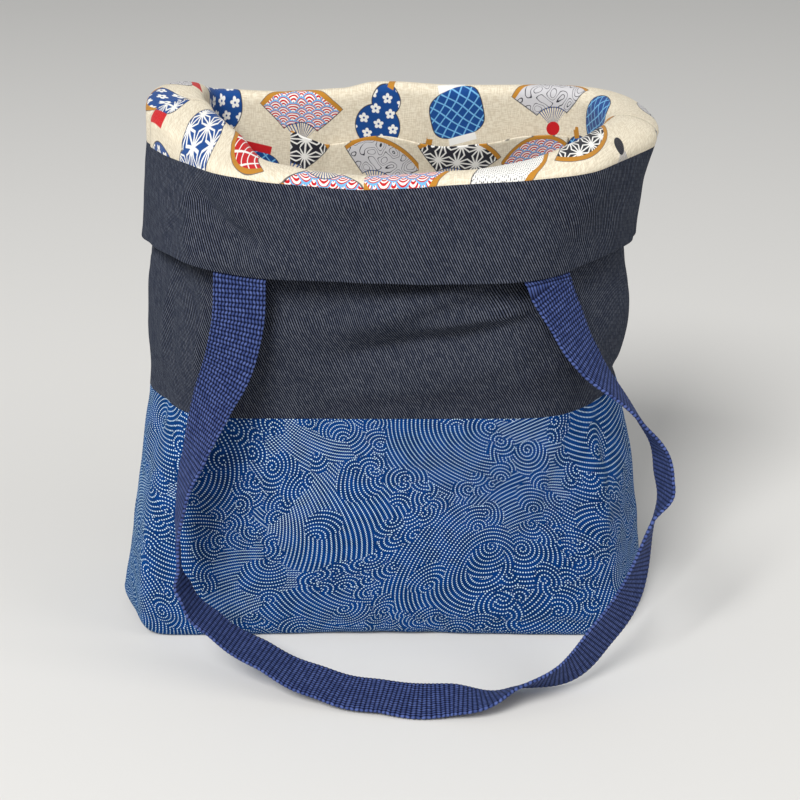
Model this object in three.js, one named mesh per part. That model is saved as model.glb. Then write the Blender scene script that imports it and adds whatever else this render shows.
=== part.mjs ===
import * as THREE from 'three';
import { mergeVertices } from 'three/addons/utils/BufferGeometryUtils.js';

// A fold-over tote bag that stands open, in millimetres: +X to the right, +Y to the back, +Z up,
// with the origin in the middle of its base. Each piece is one sheet with its cloth's thickness.
// The outer cloth follows one surface, from the middle of the base up the wall, over the rolled
// rim and down the cuff. The lining and the facing band lie on the inner side of that surface,
// so they come to the outside on the cuff.

// Cloth, webbing and the room between layers
const OUTER_CLOTH = 1.2;
const LINING_CLOTH = 1.0;
const LAYER_GAP = 0.45;
const SEAM_GAP = 0.5;
const POCKET_ROOM = 0.9;
const STRAP_WIDTH = 25;
const STRAP_THICKNESS = 1.8;

// Driving heights and lengths
const BASE_ROLL = 9;
const PANEL_SEAM_Z = 127;
const HALF_ROUND = 166;
const GROOVE = { deep: 1.2, wide: 5 };

// How finely the sheets are drawn
const FRONT_COLUMNS = 28;
const BACK_COLUMNS = 18;
const STRAP_STEPS = 54;

// Rows of values under named columns
function table(columns, rows) {
  return rows.map((row) => Object.fromEntries(columns.map((column, place) => [column, row[place]])));
}

// Plan outline of the wall at each height. Front and back are the distances of those faces from
// the side seams, left and right say how far the side seams stand out, and the other columns say
// where each face turns into the sides. A high crisp value gives sharp corners.
const WALL = table(
  ['z', 'front', 'back', 'left', 'right', 'frontLeft', 'frontRight', 'backLeft', 'backRight', 'crisp'],
  [
    [9, 45.5, 45.5, 143, 144, 123, 121, 123, 121, 30],
    [18, 47.5, 47, 141.5, 143, 122, 120, 122, 120, 26],
    [60, 49, 48, 134.5, 139, 118, 113, 118, 113, 20],
    [100, 50, 50, 129.5, 134.5, 106, 104, 106, 106, 14],
    [127, 51, 50, 127, 130, 92, 90, 96, 98, 11],
    [145, 54, 51, 126, 131, 90, 89, 95, 97, 10],
    [165, 57, 52, 126, 134, 86, 87, 95, 98, 10],
    [190, 56, 53, 123.5, 131, 80, 77, 94, 98, 10],
    [207, 54.5, 52.5, 118, 127, 74, 73, 93, 98, 10],
    [230, 52, 51.5, 101, 122, 60, 75, 91, 100, 10],
    [250, 49, 51, 91, 119, 48, 76, 88, 101, 10],
    [272, 48, 51, 89, 118, 46, 76, 88, 102, 10],
  ],
);

// Plan outline of the cuff that hangs outside the wall
const CUFF = table(
  ['z', 'front', 'back', 'left', 'right', 'frontLeft', 'frontRight', 'backLeft', 'backRight', 'crisp'],
  [
    [198, 67, 65, 126, 133, 88, 73, 101, 108, 10],
    [225, 64, 63, 122.5, 135.5, 80, 83, 104, 114, 10],
    [250, 59.5, 61, 119, 141, 70, 92, 108, 122, 10],
    [272, 58, 61, 118, 146, 68, 94, 110, 129, 10],
  ],
);

// The rolled rim, by way round: -1 is the left side seam, 0 the middle of the front, 1 the right
// side seam, 2 the middle of the back and 3 the left side seam again. Fold is the top of the
// roll, rise the height of its curve, seam the top of the facing band and hem the cuff's edge.
const RIM = table(['way', 'fold', 'rise', 'seam', 'hem'], [
  [-1, 270, 7, 249.8, 205.5],
  [-0.74, 263, 6, 250, 208],
  [-0.52, 255, 4.5, 249.3, 208.5],
  [-0.3, 251, 3, 247.2, 205.3],
  [-0.1, 247.6, 2.4, 244.4, 203],
  [0, 247.2, 2.3, 244.3, 202.2],
  [0.2, 249, 2.3, 246.3, 201.8],
  [0.35, 250.8, 2.6, 247.7, 202],
  [0.6, 256.5, 5, 250.2, 203.3],
  [0.8, 260.5, 7, 251.6, 204],
  [1, 262.5, 8, 251, 203.5],
  [1.3, 264.5, 6.5, 249.5, 204],
  [1.5, 265.5, 5, 249, 205],
  [1.8, 265.5, 5, 249, 205],
  [2.03, 267, 5, 249, 205],
  [2.13, 263.8, 5, 249, 205],
  [2.5, 263.5, 5, 249, 205],
  [2.65, 268, 5, 249, 205],
  [2.8, 272.5, 6, 249, 205],
  [3, 270, 7, 249.8, 205.5],
]);

// Soft folds in the wall: round is the distance from the middle of the front, measured round the
// bag to the right, tilt is in degrees, and a negative depth is a trough
const WALL_FOLDS = table(['round', 'z', 'tilt', 'long', 'wide', 'deep'], [
  [16, 189, 18, 34, 8, 6],
  [49, 182, 9, 26, 6, 4],
  [19, 167, 12, 50, 8, -5],
  [32, 147, 8, 58, 10, 3.5],
  [-128, 175, 86, 30, 5, 2],
  [96, 88, 72, 40, 10, -3],
  [156, 134, 0, 24, 8, -2.5],
  [-156, 202, 0, 20, 5, -1.5],
  [300, 172, -14, 55, 10, -4],
  [340, 150, -10, 60, 11, 4],
  [250, 70, 75, 40, 12, -2.5],
]);

// Soft folds in the cuff, in the same terms
const CUFF_FOLDS = table(['round', 'z', 'tilt', 'long', 'wide', 'deep'], [
  [-76, 229, -28, 28, 9, -3],
  [88, 222, -33, 22, 9, -2.5],
  [300, 226, 24, 30, 10, -3],
  [400, 224, -20, 28, 9, 2.5],
]);

// The patch pocket on the lining of the back wall: x runs across it, top is its upper edge and
// gape says how far that edge stands off the lining. It is stitched down where gape is small.
const POCKET = table(['x', 'top', 'gape'], [
  [-52.5, 245.5, 0.1],
  [-42, 242, 3],
  [-30, 238, 0.4],
  [0, 243, 3],
  [42, 241, 13],
  [78, 244, 6],
  [105, 243, 0.1],
]);
const POCKET_FOOT_Z = 128.5;
const POCKET_COLUMNS = 14;
const POCKET_ROWS = 6;

// Routes of the two handles. Along is the distance from the first end, x, y and z the middle of
// the webbing, and the across columns point from its middle to the edge that is nearer the eye.
const FRONT_STRAP = table(['along', 'x', 'y', 'z', 'acrossX', 'acrossY', 'acrossZ'], [
  [30, -68, -66, 172, 0.95, -0.2, -0.2],
  [61, -79.5, -65, 142, 0.77, -0.61, -0.18],
  [90, -89.5, -67, 115, 0.46, -0.88, -0.08],
  [115, -96.5, -70, 91, 0.24, -0.97, 0],
  [145, -98.5, -75, 62, 0.1, -1, 0],
  [161, -96, -79, 47, 0, -1, 0],
  [186, -82, -84, 31, 0, -1, 0],
  [213, -58, -90.5, 17.5, 0, -1, -0.05],
  [245, -29.5, -99, 7.2, 0, -1, -0.1],
  [275, 0, -106, 4.2, 0, -1, -0.09],
  [310, 34, -109.5, 4.4, 0, -1, -0.06],
  [340, 64, -107, 8.6, -0.1, -0.86, 0.48],
  [395, 107, -92, 29, -0.49, -0.55, 0.68],
  [456, 132, -74, 83, -0.155, -0.88, 0.45],
  [477, 137, -68, 103, 0.22, -0.93, 0.15],
  [509, 124.5, -63, 131, -0.1, -0.93, 0.35],
  [548, 99.6, -60, 160, -0.55, -0.8, 0.1],
  [573, 87, -58, 182, -0.7, -0.7, 0],
]);
const BACK_STRAP = table(['along', 'x', 'y', 'z', 'acrossX', 'acrossY', 'acrossZ'], [
  [32, 73, 69, 172, -0.97, 0.2, 0],
  [66, 81, 74, 139, -0.85, 0.5, 0],
  [101, 89, 79, 105, -0.5, 0.85, 0],
  [136, 93, 85, 71, -0.2, 0.97, 0],
  [164, 90, 91, 44, 0, 1, 0],
  [190, 77, 97, 22, 0, 1, 0],
  [219, 51, 104, 8, 0, 1, -0.06],
  [252, 19, 109, 4, 0, 1, -0.12],
  [286, -15, 109, 4, 0, 1, -0.12],
  [319, -47, 104, 8, 0, 1, -0.06],
  [348, -73, 97, 22, 0, 1, 0],
  [374, -86, 91, 44, 0, 1, 0],
  [402, -89, 85, 71, 0.2, 0.97, 0],
  [437, -86, 79, 105, 0.5, 0.85, 0],
  [472, -79, 74, 139, 0.85, 0.5, 0],
  [506, -72, 69, 172, 0.97, 0.2, 0],
]);

// Where each handle is sewn in under the cuff, by way round, in the order of its route. The front
// handle's ends sit wider to the left, as the bag is turned a little.
const STRAP_ENDS = {
  front: [{ way: -0.345, along: 0, edge: 1 }, { way: 0.455, along: 594, edge: -1 }],
  back: [{ way: 1.6, along: 0, edge: 1 }, { way: 2.42, along: 538, edge: -1 }],
};
const STRAP_DROP = 0.6;

// Stations on the way from the middle of the base to the edge of the cuff
const MIDDLE = 0;
const BASE_EDGE = 1;
const WALL_FOOT = 2;
const PANEL_SEAM = 3;
const ROLL_START = 4;
const ROLL_END = 5;
const BAND_SEAM = 6;
const HEM = 7;

// A value read smoothly between the rows of a table, by a cubic through its rows
function read(rows, by, at, column) {
  const last = rows.length - 1;
  const place = Math.min(Math.max(at, rows[0][by]), rows[last][by]);
  let row = 0;
  while (row < last - 1 && place > rows[row + 1][by]) row += 1;
  const slope = (index) => {
    const before = rows[Math.max(index - 1, 0)];
    const after = rows[Math.min(index + 1, last)];
    return (after[column] - before[column]) / (after[by] - before[by]);
  };
  const span = rows[row + 1][by] - rows[row][by];
  const t = (place - rows[row][by]) / span;
  const start = rows[row][column] + t * span * slope(row);
  const end = rows[row + 1][column] - (1 - t) * span * slope(row + 1);
  const ease = t * t * (3 - 2 * t);
  return start + (end - start) * ease;
}

// The four slanted lines of a plan outline, each from a corner to a side seam
const SLANTS = table(['side', 'apex', 'facing', 'depth', 'corner'], [
  [-1, 'left', -1, 'front', 'frontLeft'],
  [1, 'right', -1, 'front', 'frontRight'],
  [-1, 'left', 1, 'back', 'backLeft'],
  [1, 'right', 1, 'back', 'backRight'],
]);

// Distance of a plan outline from the middle of the bag, towards a heading in radians
function reach(rows, z, heading) {
  const value = (column) => read(rows, 'z', z, column);
  const crisp = value('crisp');
  const front = value('front');
  const back = value('back');
  const sides = [
    { x: 0, y: -1, far: front },
    { x: 0, y: 1, far: back },
  ];
  for (const { side, apex, facing, depth, corner } of SLANTS) {
    const lead = value(apex) - value(corner);
    const length = Math.hypot(value(depth), lead);
    sides.push({
      x: side * value(depth) / length,
      y: facing * lead / length,
      far: value(depth) * value(apex) / length,
    });
  }
  let total = 0;
  for (const side of sides) {
    const towards = side.x * Math.cos(heading) + side.y * Math.sin(heading);
    total += Math.max(towards / side.far, 0) ** crisp;
  }
  return total ** (-1 / crisp);
}

// Height that the folds of a table add to the cloth at a place
function relief(folds, round, z) {
  const wholeRound = 4 * HALF_ROUND;
  let height = 0;
  for (const fold of folds) {
    const turn = THREE.MathUtils.degToRad(fold.tilt);
    const along = THREE.MathUtils.euclideanModulo(round - fold.round + 2 * HALF_ROUND, wholeRound);
    const right = along - 2 * HALF_ROUND;
    const up = z - fold.z;
    const lengthwise = (right * Math.cos(turn) + up * Math.sin(turn)) / fold.long;
    const crosswise = (up * Math.cos(turn) - right * Math.sin(turn)) / fold.wide;
    height += fold.deep * Math.exp(-(lengthwise ** 4) - crosswise ** 2);
  }
  return height;
}

// Headings that part the wall, at the panel seam, into equal lengths from one side seam to the
// other, so that a way round becomes a heading
const HEADING_STEPS = 360;
const headingTable = [Math.PI, 0].map((first) => {
  const rows = [{ length: 0, heading: first }];
  for (let step = 1; step <= HEADING_STEPS; step += 1) {
    const heading = first + Math.PI * step / HEADING_STEPS;
    const before = rows[step - 1].heading;
    const here = reach(WALL, PANEL_SEAM_Z, heading);
    const there = reach(WALL, PANEL_SEAM_Z, before);
    const chord = Math.hypot(
      here * Math.cos(heading) - there * Math.cos(before),
      here * Math.sin(heading) - there * Math.sin(before),
    );
    rows.push({ length: rows[step - 1].length + chord, heading });
  }
  return rows;
});

function headingAt(way) {
  const behind = way > 1;
  const rows = headingTable[behind ? 1 : 0];
  const share = Math.min(Math.max((way - (behind ? 1 : -1)) / 2, 0), 1);
  const length = share * rows[HEADING_STEPS].length;
  let row = 0;
  while (row < HEADING_STEPS - 1 && length > rows[row + 1].length) row += 1;
  const part = (length - rows[row].length) / (rows[row + 1].length - rows[row].length);
  return rows[row].heading + part * (rows[row + 1].heading - rows[row].heading);
}

// Depth of the shallow groove that each side seam draws in the wall
function groove(way) {
  const fromSeam = HALF_ROUND * Math.min(Math.abs(way + 1), Math.abs(way - 1), Math.abs(way - 3));
  return GROOVE.deep * Math.exp(-((fromSeam / GROOVE.wide) ** 2));
}

function wallReach(way, z) {
  return reach(WALL, z, headingAt(way)) + relief(WALL_FOLDS, way * HALF_ROUND, z) - groove(way);
}

function cuffReach(way, z) {
  return reach(CUFF, z, headingAt(way)) + relief(CUFF_FOLDS, way * HALF_ROUND, z) - groove(way);
}

// A point on the middle of the outer cloth, at a way round and a station
function clothPoint(way, station) {
  const stage = Math.min(Math.floor(station), HEM - 1);
  const share = station - stage;
  const foot = OUTER_CLOTH / 2 + BASE_ROLL;
  const rim = (column) => read(RIM, 'way', way, column);
  const spring = rim('fold') - rim('rise');
  let out;
  let z;
  if (stage === MIDDLE) {
    out = (wallReach(way, foot) - BASE_ROLL) * share;
    z = OUTER_CLOTH / 2;
  } else if (stage === BASE_EDGE) {
    const turn = share * Math.PI / 2;
    out = wallReach(way, foot) - BASE_ROLL * (1 - Math.sin(turn));
    z = foot - BASE_ROLL * Math.cos(turn);
  } else if (stage === WALL_FOOT) {
    z = foot + (PANEL_SEAM_Z - foot) * share;
    out = wallReach(way, z);
  } else if (stage === PANEL_SEAM) {
    const start = PANEL_SEAM_Z + SEAM_GAP;
    z = start + (spring - start) * share;
    out = wallReach(way, z);
  } else if (stage === ROLL_START) {
    const inner = wallReach(way, spring);
    const outer = cuffReach(way, spring);
    out = inner + (outer - inner) * (1 - Math.cos(share * Math.PI)) / 2;
    z = spring + rim('rise') * Math.sin(share * Math.PI);
  } else if (stage === ROLL_END) {
    z = spring + (rim('seam') + SEAM_GAP / 2 - spring) * share;
    out = cuffReach(way, z);
  } else {
    const start = rim('seam') - SEAM_GAP / 2;
    z = start + (rim('hem') - start) * share;
    out = cuffReach(way, z);
  }
  const heading = headingAt(way);
  return new THREE.Vector3(out * Math.cos(heading), out * Math.sin(heading), z);
}

// Direction in which the outer cloth's right side faces
function clothNormal(way, station) {
  const nudge = 0.002;
  const near = Math.max(station, nudge);
  const round = clothPoint(way + nudge, near).sub(clothPoint(way - nudge, near));
  const after = Math.min(near + nudge, HEM);
  const onward = clothPoint(way, after).sub(clothPoint(way, near - nudge));
  return round.cross(onward).normalize();
}

// A closed sheet between two distances from the cloth's middle, over a grid of ways and levels.
// A level is a station unless the sheet says how each way turns it into one.
function sheet({ ways, levels, low, high, shift = 0, ring = false, stationOf, liftOf }) {
  const columns = ways.length;
  const positions = [];
  for (const distance of [low, high]) {
    for (const level of levels) {
      for (const way of ways) {
        const station = stationOf ? stationOf(way, level) : level;
        const lift = liftOf ? liftOf(way, level) : 0;
        const point = clothPoint(way, station);
        point.addScaledVector(clothNormal(way, station), distance - lift);
        positions.push(point.x, point.y + shift, point.z);
      }
    }
  }
  const lastRow = levels.length - 1;
  const lastColumn = ring ? columns : columns - 1;
  const layer = levels.length * columns;
  const at = (row, column) => row * columns + (column % columns);
  const faces = [];
  const edges = [];
  for (let row = 0; row < lastRow; row += 1) {
    for (let column = 0; column < lastColumn; column += 1) {
      const [a, b] = [at(row, column), at(row, column + 1)];
      const [d, c] = [at(row + 1, column), at(row + 1, column + 1)];
      faces.push([layer + a, layer + b, layer + c], [layer + a, layer + c, layer + d]);
      faces.push([a, c, b], [a, d, c]);
    }
    if (!ring) {
      edges.push([at(row, lastColumn), at(row + 1, lastColumn)]);
      edges.push([at(row + 1, 0), at(row, 0)]);
    }
  }
  for (let column = 0; column < lastColumn; column += 1) {
    edges.push([at(0, column), at(0, column + 1)]);
    edges.push([at(lastRow, column + 1), at(lastRow, column)]);
  }
  for (const [from, to] of edges) {
    faces.push([layer + to, layer + from, from], [layer + to, from, to]);
  }
  return closedGeometry(positions, faces);
}

// A geometry with its shared corners merged and its empty faces dropped
function closedGeometry(positions, faces) {
  const loose = new THREE.BufferGeometry();
  loose.setAttribute('position', new THREE.Float32BufferAttribute(positions, 3));
  loose.setIndex(faces.flat());
  const merged = mergeVertices(loose, 0.001);
  const index = merged.getIndex().array;
  const kept = [];
  for (let start = 0; start < index.length; start += 3) {
    const [a, b, c] = index.slice(start, start + 3);
    if (a !== b && b !== c && c !== a) kept.push(a, b, c);
  }
  merged.setIndex(kept);
  merged.computeVertexNormals();
  return merged;
}

// A closed ribbon of webbing along a route
function webbing(route) {
  const length = route[route.length - 1].along;
  const positions = [];
  const middle = (along) => new THREE.Vector3(
    read(route, 'along', along, 'x'),
    read(route, 'along', along, 'y'),
    read(route, 'along', along, 'z'),
  );
  for (let step = 0; step <= STRAP_STEPS; step += 1) {
    const along = length * step / STRAP_STEPS;
    const centre = middle(along);
    const forward = middle(along + 1).sub(middle(along - 1)).normalize();
    const across = new THREE.Vector3(
      read(route, 'along', along, 'acrossX'),
      read(route, 'along', along, 'acrossY'),
      read(route, 'along', along, 'acrossZ'),
    );
    const sewnIn = step === 0 || step === STRAP_STEPS;
    if (!sewnIn) across.addScaledVector(forward, -across.dot(forward));
    across.normalize();
    const face = new THREE.Vector3().crossVectors(forward, across);
    for (const [wide, thick] of [[1, 1], [-1, 1], [-1, -1], [1, -1]]) {
      const corner = centre.clone();
      corner.addScaledVector(across, wide * STRAP_WIDTH / 2);
      corner.addScaledVector(face, thick * STRAP_THICKNESS / 2);
      positions.push(corner.x, corner.y, corner.z);
    }
  }
  const faces = [[0, 2, 1], [0, 3, 2]];
  for (let step = 0; step < STRAP_STEPS; step += 1) {
    for (let side = 0; side < 4; side += 1) {
      const next = (side + 1) % 4;
      const [a, b] = [step * 4 + side, step * 4 + next];
      faces.push([a, b, b + 4], [a, b + 4, a + 4]);
    }
  }
  const end = STRAP_STEPS * 4;
  faces.push([end, end + 1, end + 2], [end, end + 2, end + 3]);
  return closedGeometry(positions, faces);
}

// The full route of a handle. Its ends lie along the edge of the cuff, just under it.
function strapRoute(rows, ends) {
  const [from, to] = ends.map(({ way, along, edge }) => {
    const halfWay = STRAP_WIDTH / 2 / HALF_ROUND;
    const before = clothPoint(way - halfWay, HEM);
    const after = clothPoint(way + halfWay, HEM);
    const across = after.clone().sub(before).multiplyScalar(edge).normalize();
    const point = before.add(after).multiplyScalar(0.5);
    point.addScaledVector(clothNormal(way, HEM), OUTER_CLOTH / 4 - STRAP_THICKNESS / 2);
    point.z -= STRAP_DROP;
    return {
      along, x: point.x, y: point.y, z: point.z,
      acrossX: across.x, acrossY: across.y, acrossZ: across.z,
    };
  });
  return [from, ...rows, to];
}

function steps(from, to, count) {
  return Array.from({ length: count + 1 }, (_, step) => from + (to - from) * step / count);
}

// Columns of the grids, round the bag
const frontWays = steps(-1, 1, FRONT_COLUMNS);
const backWays = steps(1, 3, BACK_COLUMNS);
const roundWays = [...frontWays, ...backWays.slice(1, -1)];

// Rows of the grids. A piece that ends at a seam stops a hair before the next one starts.
const HAIR = 1e-9;
const base = [MIDDLE, 0.55, ...steps(BASE_EDGE, WALL_FOOT, 3)];
const lower = [...base, ...steps(WALL_FOOT, PANEL_SEAM, 6).slice(1, -1)];
const lowerPanel = [...lower, PANEL_SEAM - HAIR];
const roll = steps(ROLL_START, ROLL_END, 4);
const band = steps(BAND_SEAM, HEM, 3);
const frontWall = steps(PANEL_SEAM, ROLL_START, 11).slice(0, -1);
const backWall = steps(PANEL_SEAM, ROLL_START, 7).slice(0, -1);

// Room that each layer takes, from the middle of the outer cloth
const outerCloth = { low: -OUTER_CLOTH / 2, high: OUTER_CLOTH / 2 };
const liningFace = -OUTER_CLOTH / 2 - LAYER_GAP;
const innerCloth = { low: liningFace - LINING_CLOTH, high: liningFace };
const pocketFace = innerCloth.low - LAYER_GAP - POCKET_ROOM;
const pocketCloth = { low: pocketFace - LINING_CLOTH, high: pocketFace };

const frontHalf = { ways: frontWays, shift: -SEAM_GAP / 2 };
const backHalf = { ways: backWays, shift: SEAM_GAP / 2 };

function pocketGeometry() {
  const across = (way) => (2 - way) * HALF_ROUND;
  const wayAt = (x) => 2 - x / HALF_ROUND;
  const wallStart = PANEL_SEAM_Z + SEAM_GAP;
  const stationOf = (way, level) => {
    const spring = read(RIM, 'way', way, 'fold') - read(RIM, 'way', way, 'rise');
    const top = read(POCKET, 'x', across(way), 'top');
    const z = POCKET_FOOT_Z + (top - POCKET_FOOT_Z) * level;
    return PANEL_SEAM + (z - wallStart) / (spring - wallStart);
  };
  const liftOf = (way, level) => Math.max(read(POCKET, 'x', across(way), 'gape'), 0) * level ** 2;
  return sheet({
    ways: steps(wayAt(POCKET[POCKET.length - 1].x), wayAt(POCKET[0].x), POCKET_COLUMNS),
    levels: steps(0, 1, POCKET_ROWS),
    ...pocketCloth,
    shift: backHalf.shift,
    stationOf,
    liftOf,
  });
}

// Finishes of the four materials
const PRINTED_COTTON = { color: 0x1d5290, roughness: 0.85, metalness: 0 };
const NAVY_TWILL = { color: 0x252c3d, roughness: 0.8, metalness: 0 };
const PRINTED_LINING = { color: 0xe0d8c6, roughness: 0.85, metalness: 0 };
const NAVY_WEBBING = { color: 0x2f3870, roughness: 0.7, metalness: 0 };

const group = new THREE.Group();

function add(name, geometry, finish) {
  const mesh = new THREE.Mesh(geometry, new THREE.MeshStandardMaterial(finish));
  mesh.name = name;
  group.add(mesh);
}

add('lower_panel', sheet({ ways: roundWays, levels: lowerPanel, ...outerCloth, ring: true }), PRINTED_COTTON);

for (const [side, half, wall] of [['front', frontHalf, frontWall], ['back', backHalf, backWall]]) {
  const panel = { ...half, ...outerCloth, levels: [...wall, ...roll, ...band] };
  const facing = { ...half, ...innerCloth, levels: band };
  const lining = { ...half, ...innerCloth, levels: [...lower, ...wall, ...roll, BAND_SEAM - HAIR] };
  add(`upper_${side}`, sheet(panel), NAVY_TWILL);
  add(`facing_${side}`, sheet(facing), NAVY_TWILL);
  add(`lining_${side}`, sheet(lining), PRINTED_LINING);
}

add('pocket', pocketGeometry(), PRINTED_LINING);
add('strap_front', webbing(strapRoute(FRONT_STRAP, STRAP_ENDS.front)), NAVY_WEBBING);
add('strap_back', webbing(strapRoute(BACK_STRAP, STRAP_ENDS.back)), NAVY_WEBBING);

export default group;
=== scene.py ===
# %% [markdown]
# This lesson dresses a fold-over tote bag. The packed frame already holds the bag's plain sheets at
# their real size. Here each sheet is made again with many more faces, so that it can carry fine
# creases, rounded edges and cloth that looks woven. Sizes in the tables are in millimetres.

import math

import bpy
import numpy as np
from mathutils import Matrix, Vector


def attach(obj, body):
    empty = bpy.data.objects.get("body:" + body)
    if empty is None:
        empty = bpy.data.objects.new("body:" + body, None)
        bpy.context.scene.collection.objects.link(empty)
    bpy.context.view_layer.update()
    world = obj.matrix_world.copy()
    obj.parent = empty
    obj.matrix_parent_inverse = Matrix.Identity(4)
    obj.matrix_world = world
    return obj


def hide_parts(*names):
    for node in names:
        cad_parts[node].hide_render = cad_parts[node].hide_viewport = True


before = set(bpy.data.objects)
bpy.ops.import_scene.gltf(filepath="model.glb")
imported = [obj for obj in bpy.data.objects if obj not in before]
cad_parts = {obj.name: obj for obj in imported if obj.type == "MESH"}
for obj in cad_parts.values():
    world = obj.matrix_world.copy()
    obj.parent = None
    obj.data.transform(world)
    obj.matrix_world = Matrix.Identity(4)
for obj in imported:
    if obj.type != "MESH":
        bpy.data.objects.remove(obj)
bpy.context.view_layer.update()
bpy.ops.object.select_all(action="DESELECT")
MM = 0.001
print("nodes in the frame:", sorted(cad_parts))


# %% [markdown]
# A bag of soft cloth has no straight walls, so its shape is kept as tables: how far each face
# stands out at each height, and where the corners are. A smooth curve through the rows of a table
# gives every height in between. The tables are those from which the frame's sheets were made.

# %% Tables of the bag's shape
def table(columns, rows):
    """Columns of numbers under their names."""
    return dict(zip(columns, np.array(rows, float).T))


OUTER_CLOTH = 1.2
LINING_CLOTH = 1.0
LAYER_GAP = 0.45
POCKET_ROOM = 0.9
SEAM_GAP = 0.5
STRAP_WIDTH = 25
STRAP_THICKNESS = 1.8
BASE_ROLL = 9
PANEL_SEAM_Z = 127
HALF_ROUND = 166
GROOVE_DEEP = 1.2
GROOVE_WIDE = 5

PLAN_COLUMNS = [
    "z", "front", "back", "left", "right",
    "front_left", "front_right", "back_left", "back_right", "crisp",
]
WALL = table(PLAN_COLUMNS, [
    [9, 45.5, 45.5, 143, 144, 123, 121, 123, 121, 30],
    [18, 47.5, 47, 141.5, 143, 122, 120, 122, 120, 26],
    [60, 49, 48, 134.5, 139, 118, 113, 118, 113, 20],
    [100, 50, 50, 129.5, 134.5, 106, 104, 106, 106, 14],
    [127, 51, 50, 127, 130, 92, 90, 96, 98, 11],
    [145, 54, 51, 126, 131, 90, 89, 95, 97, 10],
    [165, 57, 52, 126, 134, 86, 87, 95, 98, 10],
    [190, 56, 53, 123.5, 131, 80, 77, 94, 98, 10],
    [207, 54.5, 52.5, 118, 127, 74, 73, 93, 98, 10],
    [230, 52, 51.5, 101, 122, 60, 75, 91, 100, 10],
    [250, 49, 51, 91, 119, 48, 76, 88, 101, 10],
    [272, 48, 51, 89, 118, 46, 76, 88, 102, 10],
])
CUFF = table(PLAN_COLUMNS, [
    [198, 67, 65, 126, 133, 88, 73, 101, 108, 10],
    [225, 64, 63, 122.5, 135.5, 80, 83, 104, 114, 10],
    [250, 59.5, 61, 119, 141, 70, 92, 108, 122, 10],
    [272, 58, 61, 118, 146, 68, 94, 110, 129, 10],
])
RIM = table(["way", "fold", "rise", "seam", "hem"], [
    [-1, 270, 7, 249.8, 205.5],
    [-0.74, 263, 6, 250, 208],
    [-0.52, 255, 4.5, 249.3, 208.5],
    [-0.3, 251, 3, 247.2, 205.3],
    [-0.1, 247.6, 2.4, 244.4, 203],
    [0, 247.2, 2.3, 244.3, 202.2],
    [0.2, 249, 2.3, 246.3, 201.8],
    [0.35, 250.8, 2.6, 247.7, 202],
    [0.6, 256.5, 5, 250.2, 203.3],
    [0.8, 260.5, 7, 251.6, 204],
    [1, 262.5, 8, 251, 203.5],
    [1.3, 264.5, 6.5, 249.5, 204],
    [1.5, 265.5, 5, 249, 205],
    [1.8, 265.5, 5, 249, 205],
    [2.03, 267, 5, 249, 205],
    [2.13, 263.8, 5, 249, 205],
    [2.5, 263.5, 5, 249, 205],
    [2.65, 268, 5, 249, 205],
    [2.8, 272.5, 6, 249, 205],
    [3, 270, 7, 249.8, 205.5],
])
FOLD_COLUMNS = ["round", "z", "tilt", "long", "wide", "deep"]
WALL_FOLDS = table(FOLD_COLUMNS, [
    [16, 189, 18, 34, 8, 6],
    [49, 182, 9, 26, 6, 4],
    [19, 167, 12, 50, 8, -5],
    [32, 147, 8, 58, 10, 3.5],
    [-128, 175, 86, 30, 5, 2],
    [96, 88, 72, 40, 10, -3],
    [156, 134, 0, 24, 8, -2.5],
    [-156, 202, 0, 20, 5, -1.5],
    [300, 172, -14, 55, 10, -4],
    [340, 150, -10, 60, 11, 4],
    [250, 70, 75, 40, 12, -2.5],
])
CUFF_FOLDS = table(FOLD_COLUMNS, [
    [-76, 229, -28, 28, 9, -3],
    [88, 222, -33, 22, 9, -2.5],
    [300, 226, 24, 30, 10, -3],
    [400, 224, -20, 28, 9, 2.5],
])
POCKET = table(["x", "top", "gape"], [
    [-52.5, 245.5, 0.1],
    [-42, 242, 3],
    [-30, 238, 0.4],
    [0, 243, 3],
    [42, 241, 13],
    [78, 244, 6],
    [105, 243, 0.1],
])
POCKET_FOOT_Z = 128.5
print("heights in the wall's table:", WALL["z"])

# %% [markdown]
# A cubic curve passes smoothly through the rows. Its slope at each row is that of the line between
# the row's neighbours, so nothing kinks where one row hands over to the next.

# %% Read a table smoothly
def read(rows, by, at, column):
    places, values = rows[by], rows[column]
    last = len(places) - 1
    index = np.arange(last + 1)
    before, after = np.maximum(index - 1, 0), np.minimum(index + 1, last)
    slopes = (values[after] - values[before]) / (places[after] - places[before])
    place = np.clip(at, places[0], places[-1])
    row = np.clip(np.searchsorted(places, place, side="right") - 1, 0, last - 1)
    span = places[row + 1] - places[row]
    t = (place - places[row]) / span
    start = values[row] + t * span * slopes[row]
    end = values[row + 1] - (1 - t) * span * slopes[row + 1]
    ease = t * t * (3 - 2 * t)
    return start + (end - start) * ease


print("front at 150 mm:", round(float(read(WALL, "z", 150, "front")), 2))

# %% [markdown]
# The plan outline of the bag has six sides: front, back, and two slanted lines to each side seam.
# A high power blends them into one rounded outline, the way cloth rounds a corner.

# %% The plan outline
SLANTS = [
    (-1, "left", -1, "front", "front_left"),
    (1, "right", -1, "front", "front_right"),
    (-1, "left", 1, "back", "back_left"),
    (1, "right", 1, "back", "back_right"),
]


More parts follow.
